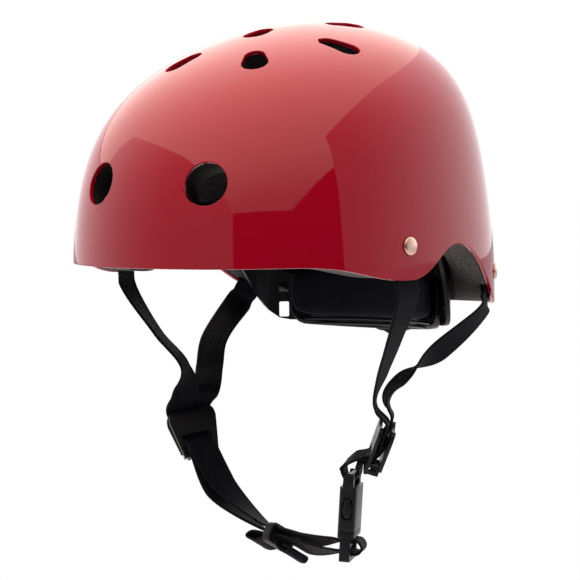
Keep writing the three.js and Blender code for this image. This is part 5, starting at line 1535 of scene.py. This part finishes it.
@dataclass
class Studio:
    """The camera, the pale floor and the lights."""

    right: tuple = (0.78879, 0.61449, -0.01478)
    up: tuple = (-0.02702, 0.05869, 0.99792)
    place: tuple = (0.848695, -1.113920, -0.028531)
    lens: float = 162.18

    def camera(self) -> None:
        """Sets the camera at the photograph's angle."""
        data = bpy.data.cameras.new("camera")
        data.lens = self.lens
        data.sensor_width = 36
        data.clip_start, data.clip_end = 0.05, 50
        camera = bpy.data.objects.new("camera", data)
        bpy.context.scene.collection.objects.link(camera)
        right, up = Vector(self.right).normalized(), Vector(self.up)
        back = right.cross(up).normalized()
        up = back.cross(right)
        camera.matrix_world = Matrix.Translation(self.place) @ Matrix((right, up, back)).transposed().to_4x4()
        bpy.context.scene.camera = camera

    def card(self, name: str, corners: list, shader: callable) -> bpy.types.Object:
        """A flat card with its own surface, seen only in reflections and as light.

        Args:
            name: The card's name.
            corners: Its corners in order, in metres.
            shader: Makes the surface from the card's graph and gives its output.

        Returns:
            The card.
        """
        mesh = bpy.data.meshes.new(name)
        mesh.from_pydata(corners, [], [tuple(range(len(corners)))])
        obj = linked(name, mesh)
        material, graph = new_material(name)
        graph.add("OutputMaterial", {"Surface": shader(graph)})
        mesh.materials.append(material)
        obj.visible_camera = False
        obj.visible_shadow = False
        return obj

    def build(self) -> None:
        """Builds the whole studio."""
        self.camera()
        bpy.context.scene.view_settings.view_transform = "Standard"
        world = bpy.data.worlds.new("studio")
        bpy.context.scene.world = world
        world.use_nodes = True
        graph = Graph(world.node_tree)
        rays = graph.add("LightPath").outputs
        way = graph.add("SeparateXYZ", {0: graph.add("TexCoord").outputs["Generated"]}).outputs
        behind = graph.math("MULTIPLY_ADD", way[0], -0.61, graph.math("MULTIPLY", way[1], 0.79))
        mirrored_fill = graph.span(behind, -0.5, 0.6, 0.42, 1.45)
        soft_fill = graph.span(behind, -0.6, 0.7, 0.1, 1.9)
        chosen = graph.add("Mix", {0: rays["Is Diffuse Ray"], 2: mirrored_fill, 3: soft_fill})
        seen = graph.math("MAXIMUM", chosen.outputs[0], rays["Is Camera Ray"])
        back = graph.add("Background", {"Color": colour(1, 1, 1), "Strength": seen})
        graph.add("OutputWorld", {"Surface": back.outputs[0]})

        def soft(graph: Graph) -> bpy.types.NodeSocket:
            """The overhead softbox, brighter towards its far end."""
            place = graph.add("SeparateXYZ", {0: graph.add("TexCoord").outputs["Object"]}).outputs
            along = graph.math("MULTIPLY_ADD", place[0], -0.72, graph.math("MULTIPLY", place[1], 0.69))
            power = graph.span(along, -3.0, 1.1, 0.62, 2.2)
            power = graph.math("MULTIPLY", power, graph.math("MULTIPLY_ADD",
                               graph.add("LightPath").outputs["Is Diffuse Ray"], 0.55, 1.0))
            return graph.add("Emission", {"Color": colour(1.1, 0.975, 0.885), "Strength": power}).outputs[0]

        def dark(graph: Graph) -> bpy.types.NodeSocket:
            """The unlit side of the studio behind the camera."""
            return graph.add("BsdfDiffuse", {"Color": colour(0.01, 0.01, 0.01)}).outputs[0]

        top = 0.9
        self.card("softbox", [(1.255, -3.218, top), (3.4, -1.9, top), (2.243, -0.077, top), (1.095, -0.135, top),
                              (0.479, 0.487, top), (-1.9, 3.6, top), (-3.0, 1.95, top), (-3.38, -0.4, top),
                              (-1.315, -0.36, top), (-0.482, -1.095, top)], soft)
        self.card("seam", [(-3.01, 1.95, top), (-3.39, -0.4, top), (-3.47, -0.4, top), (-3.09, 1.98, top)], dark)
        self.card("flag", [(0.734, -1.885, 0.481), (1.409, -0.762, 0.296), (1.818, -0.08, 0.714),
                           (1.98, 0.188, -0.5), (0.787, -1.798, -0.5)], dark)
        self.floor()

    def floor(self) -> None:
        """A pale floor that runs out of sight, and is clear from below."""
        bpy.ops.object.select_all(action="DESELECT")
        bpy.ops.mesh.primitive_plane_add(size=30, location=(0, 0, -0.62))
        obj = bpy.context.object
        obj.name = "floor"
        material, graph = new_material("floor")
        rays = graph.add("LightPath").outputs
        pale = graph.add("BsdfDiffuse", {"Color": colour(0.62, 0.62, 0.64)})
        clear = graph.add("Emission", {"Color": colour(1, 1, 1), "Strength": 1.0})
        mixed = graph.add("MixShader", {0: rays["Is Camera Ray"], 1: pale.outputs[0], 2: clear.outputs[0]})
        below = graph.add("NewGeometry").outputs["Backfacing"]
        open_below = graph.add("BsdfTransparent")
        sided = graph.add("MixShader", {0: below, 1: mixed.outputs[0], 2: open_below.outputs[0]})
        graph.add("OutputMaterial", {"Surface": sided.outputs[0]})
        obj.data.materials.append(material)


def build_scene() -> None:
    """Builds the helmet over its frame and the studio round it."""
    logging.basicConfig(level=logging.INFO, format="%(message)s")
    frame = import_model()
    nodes = frame["nodes"]
    finishes = Finishes()
    shell = Shell(ShellForm())
    harness = Harness(shell)
    shell.build(finishes)
    Liner(shell).build(finishes, harness.channels())
    Rivets(shell).build(finishes)
    for name in ("brow_pad", "crown_pad", "left_temple_pad", "right_temple_pad", "left_nape_pad", "right_nape_pad"):
        Padding(name, "helmet", Slot.PAD, 1.2).build(finishes, nodes)
    harness.build(finishes, nodes)
    Cradle().build(finishes, nodes)
    for side in ("left", "right"):
        for place in ("front", "rear"):
            nodes[f"{side}_{place}_washer"].data.materials.clear()
            nodes[f"{side}_{place}_washer"].data.materials.append(finishes.materials[Slot.WASHER])
    Studio().build()


if __name__ == "__main__":
    build_scene()
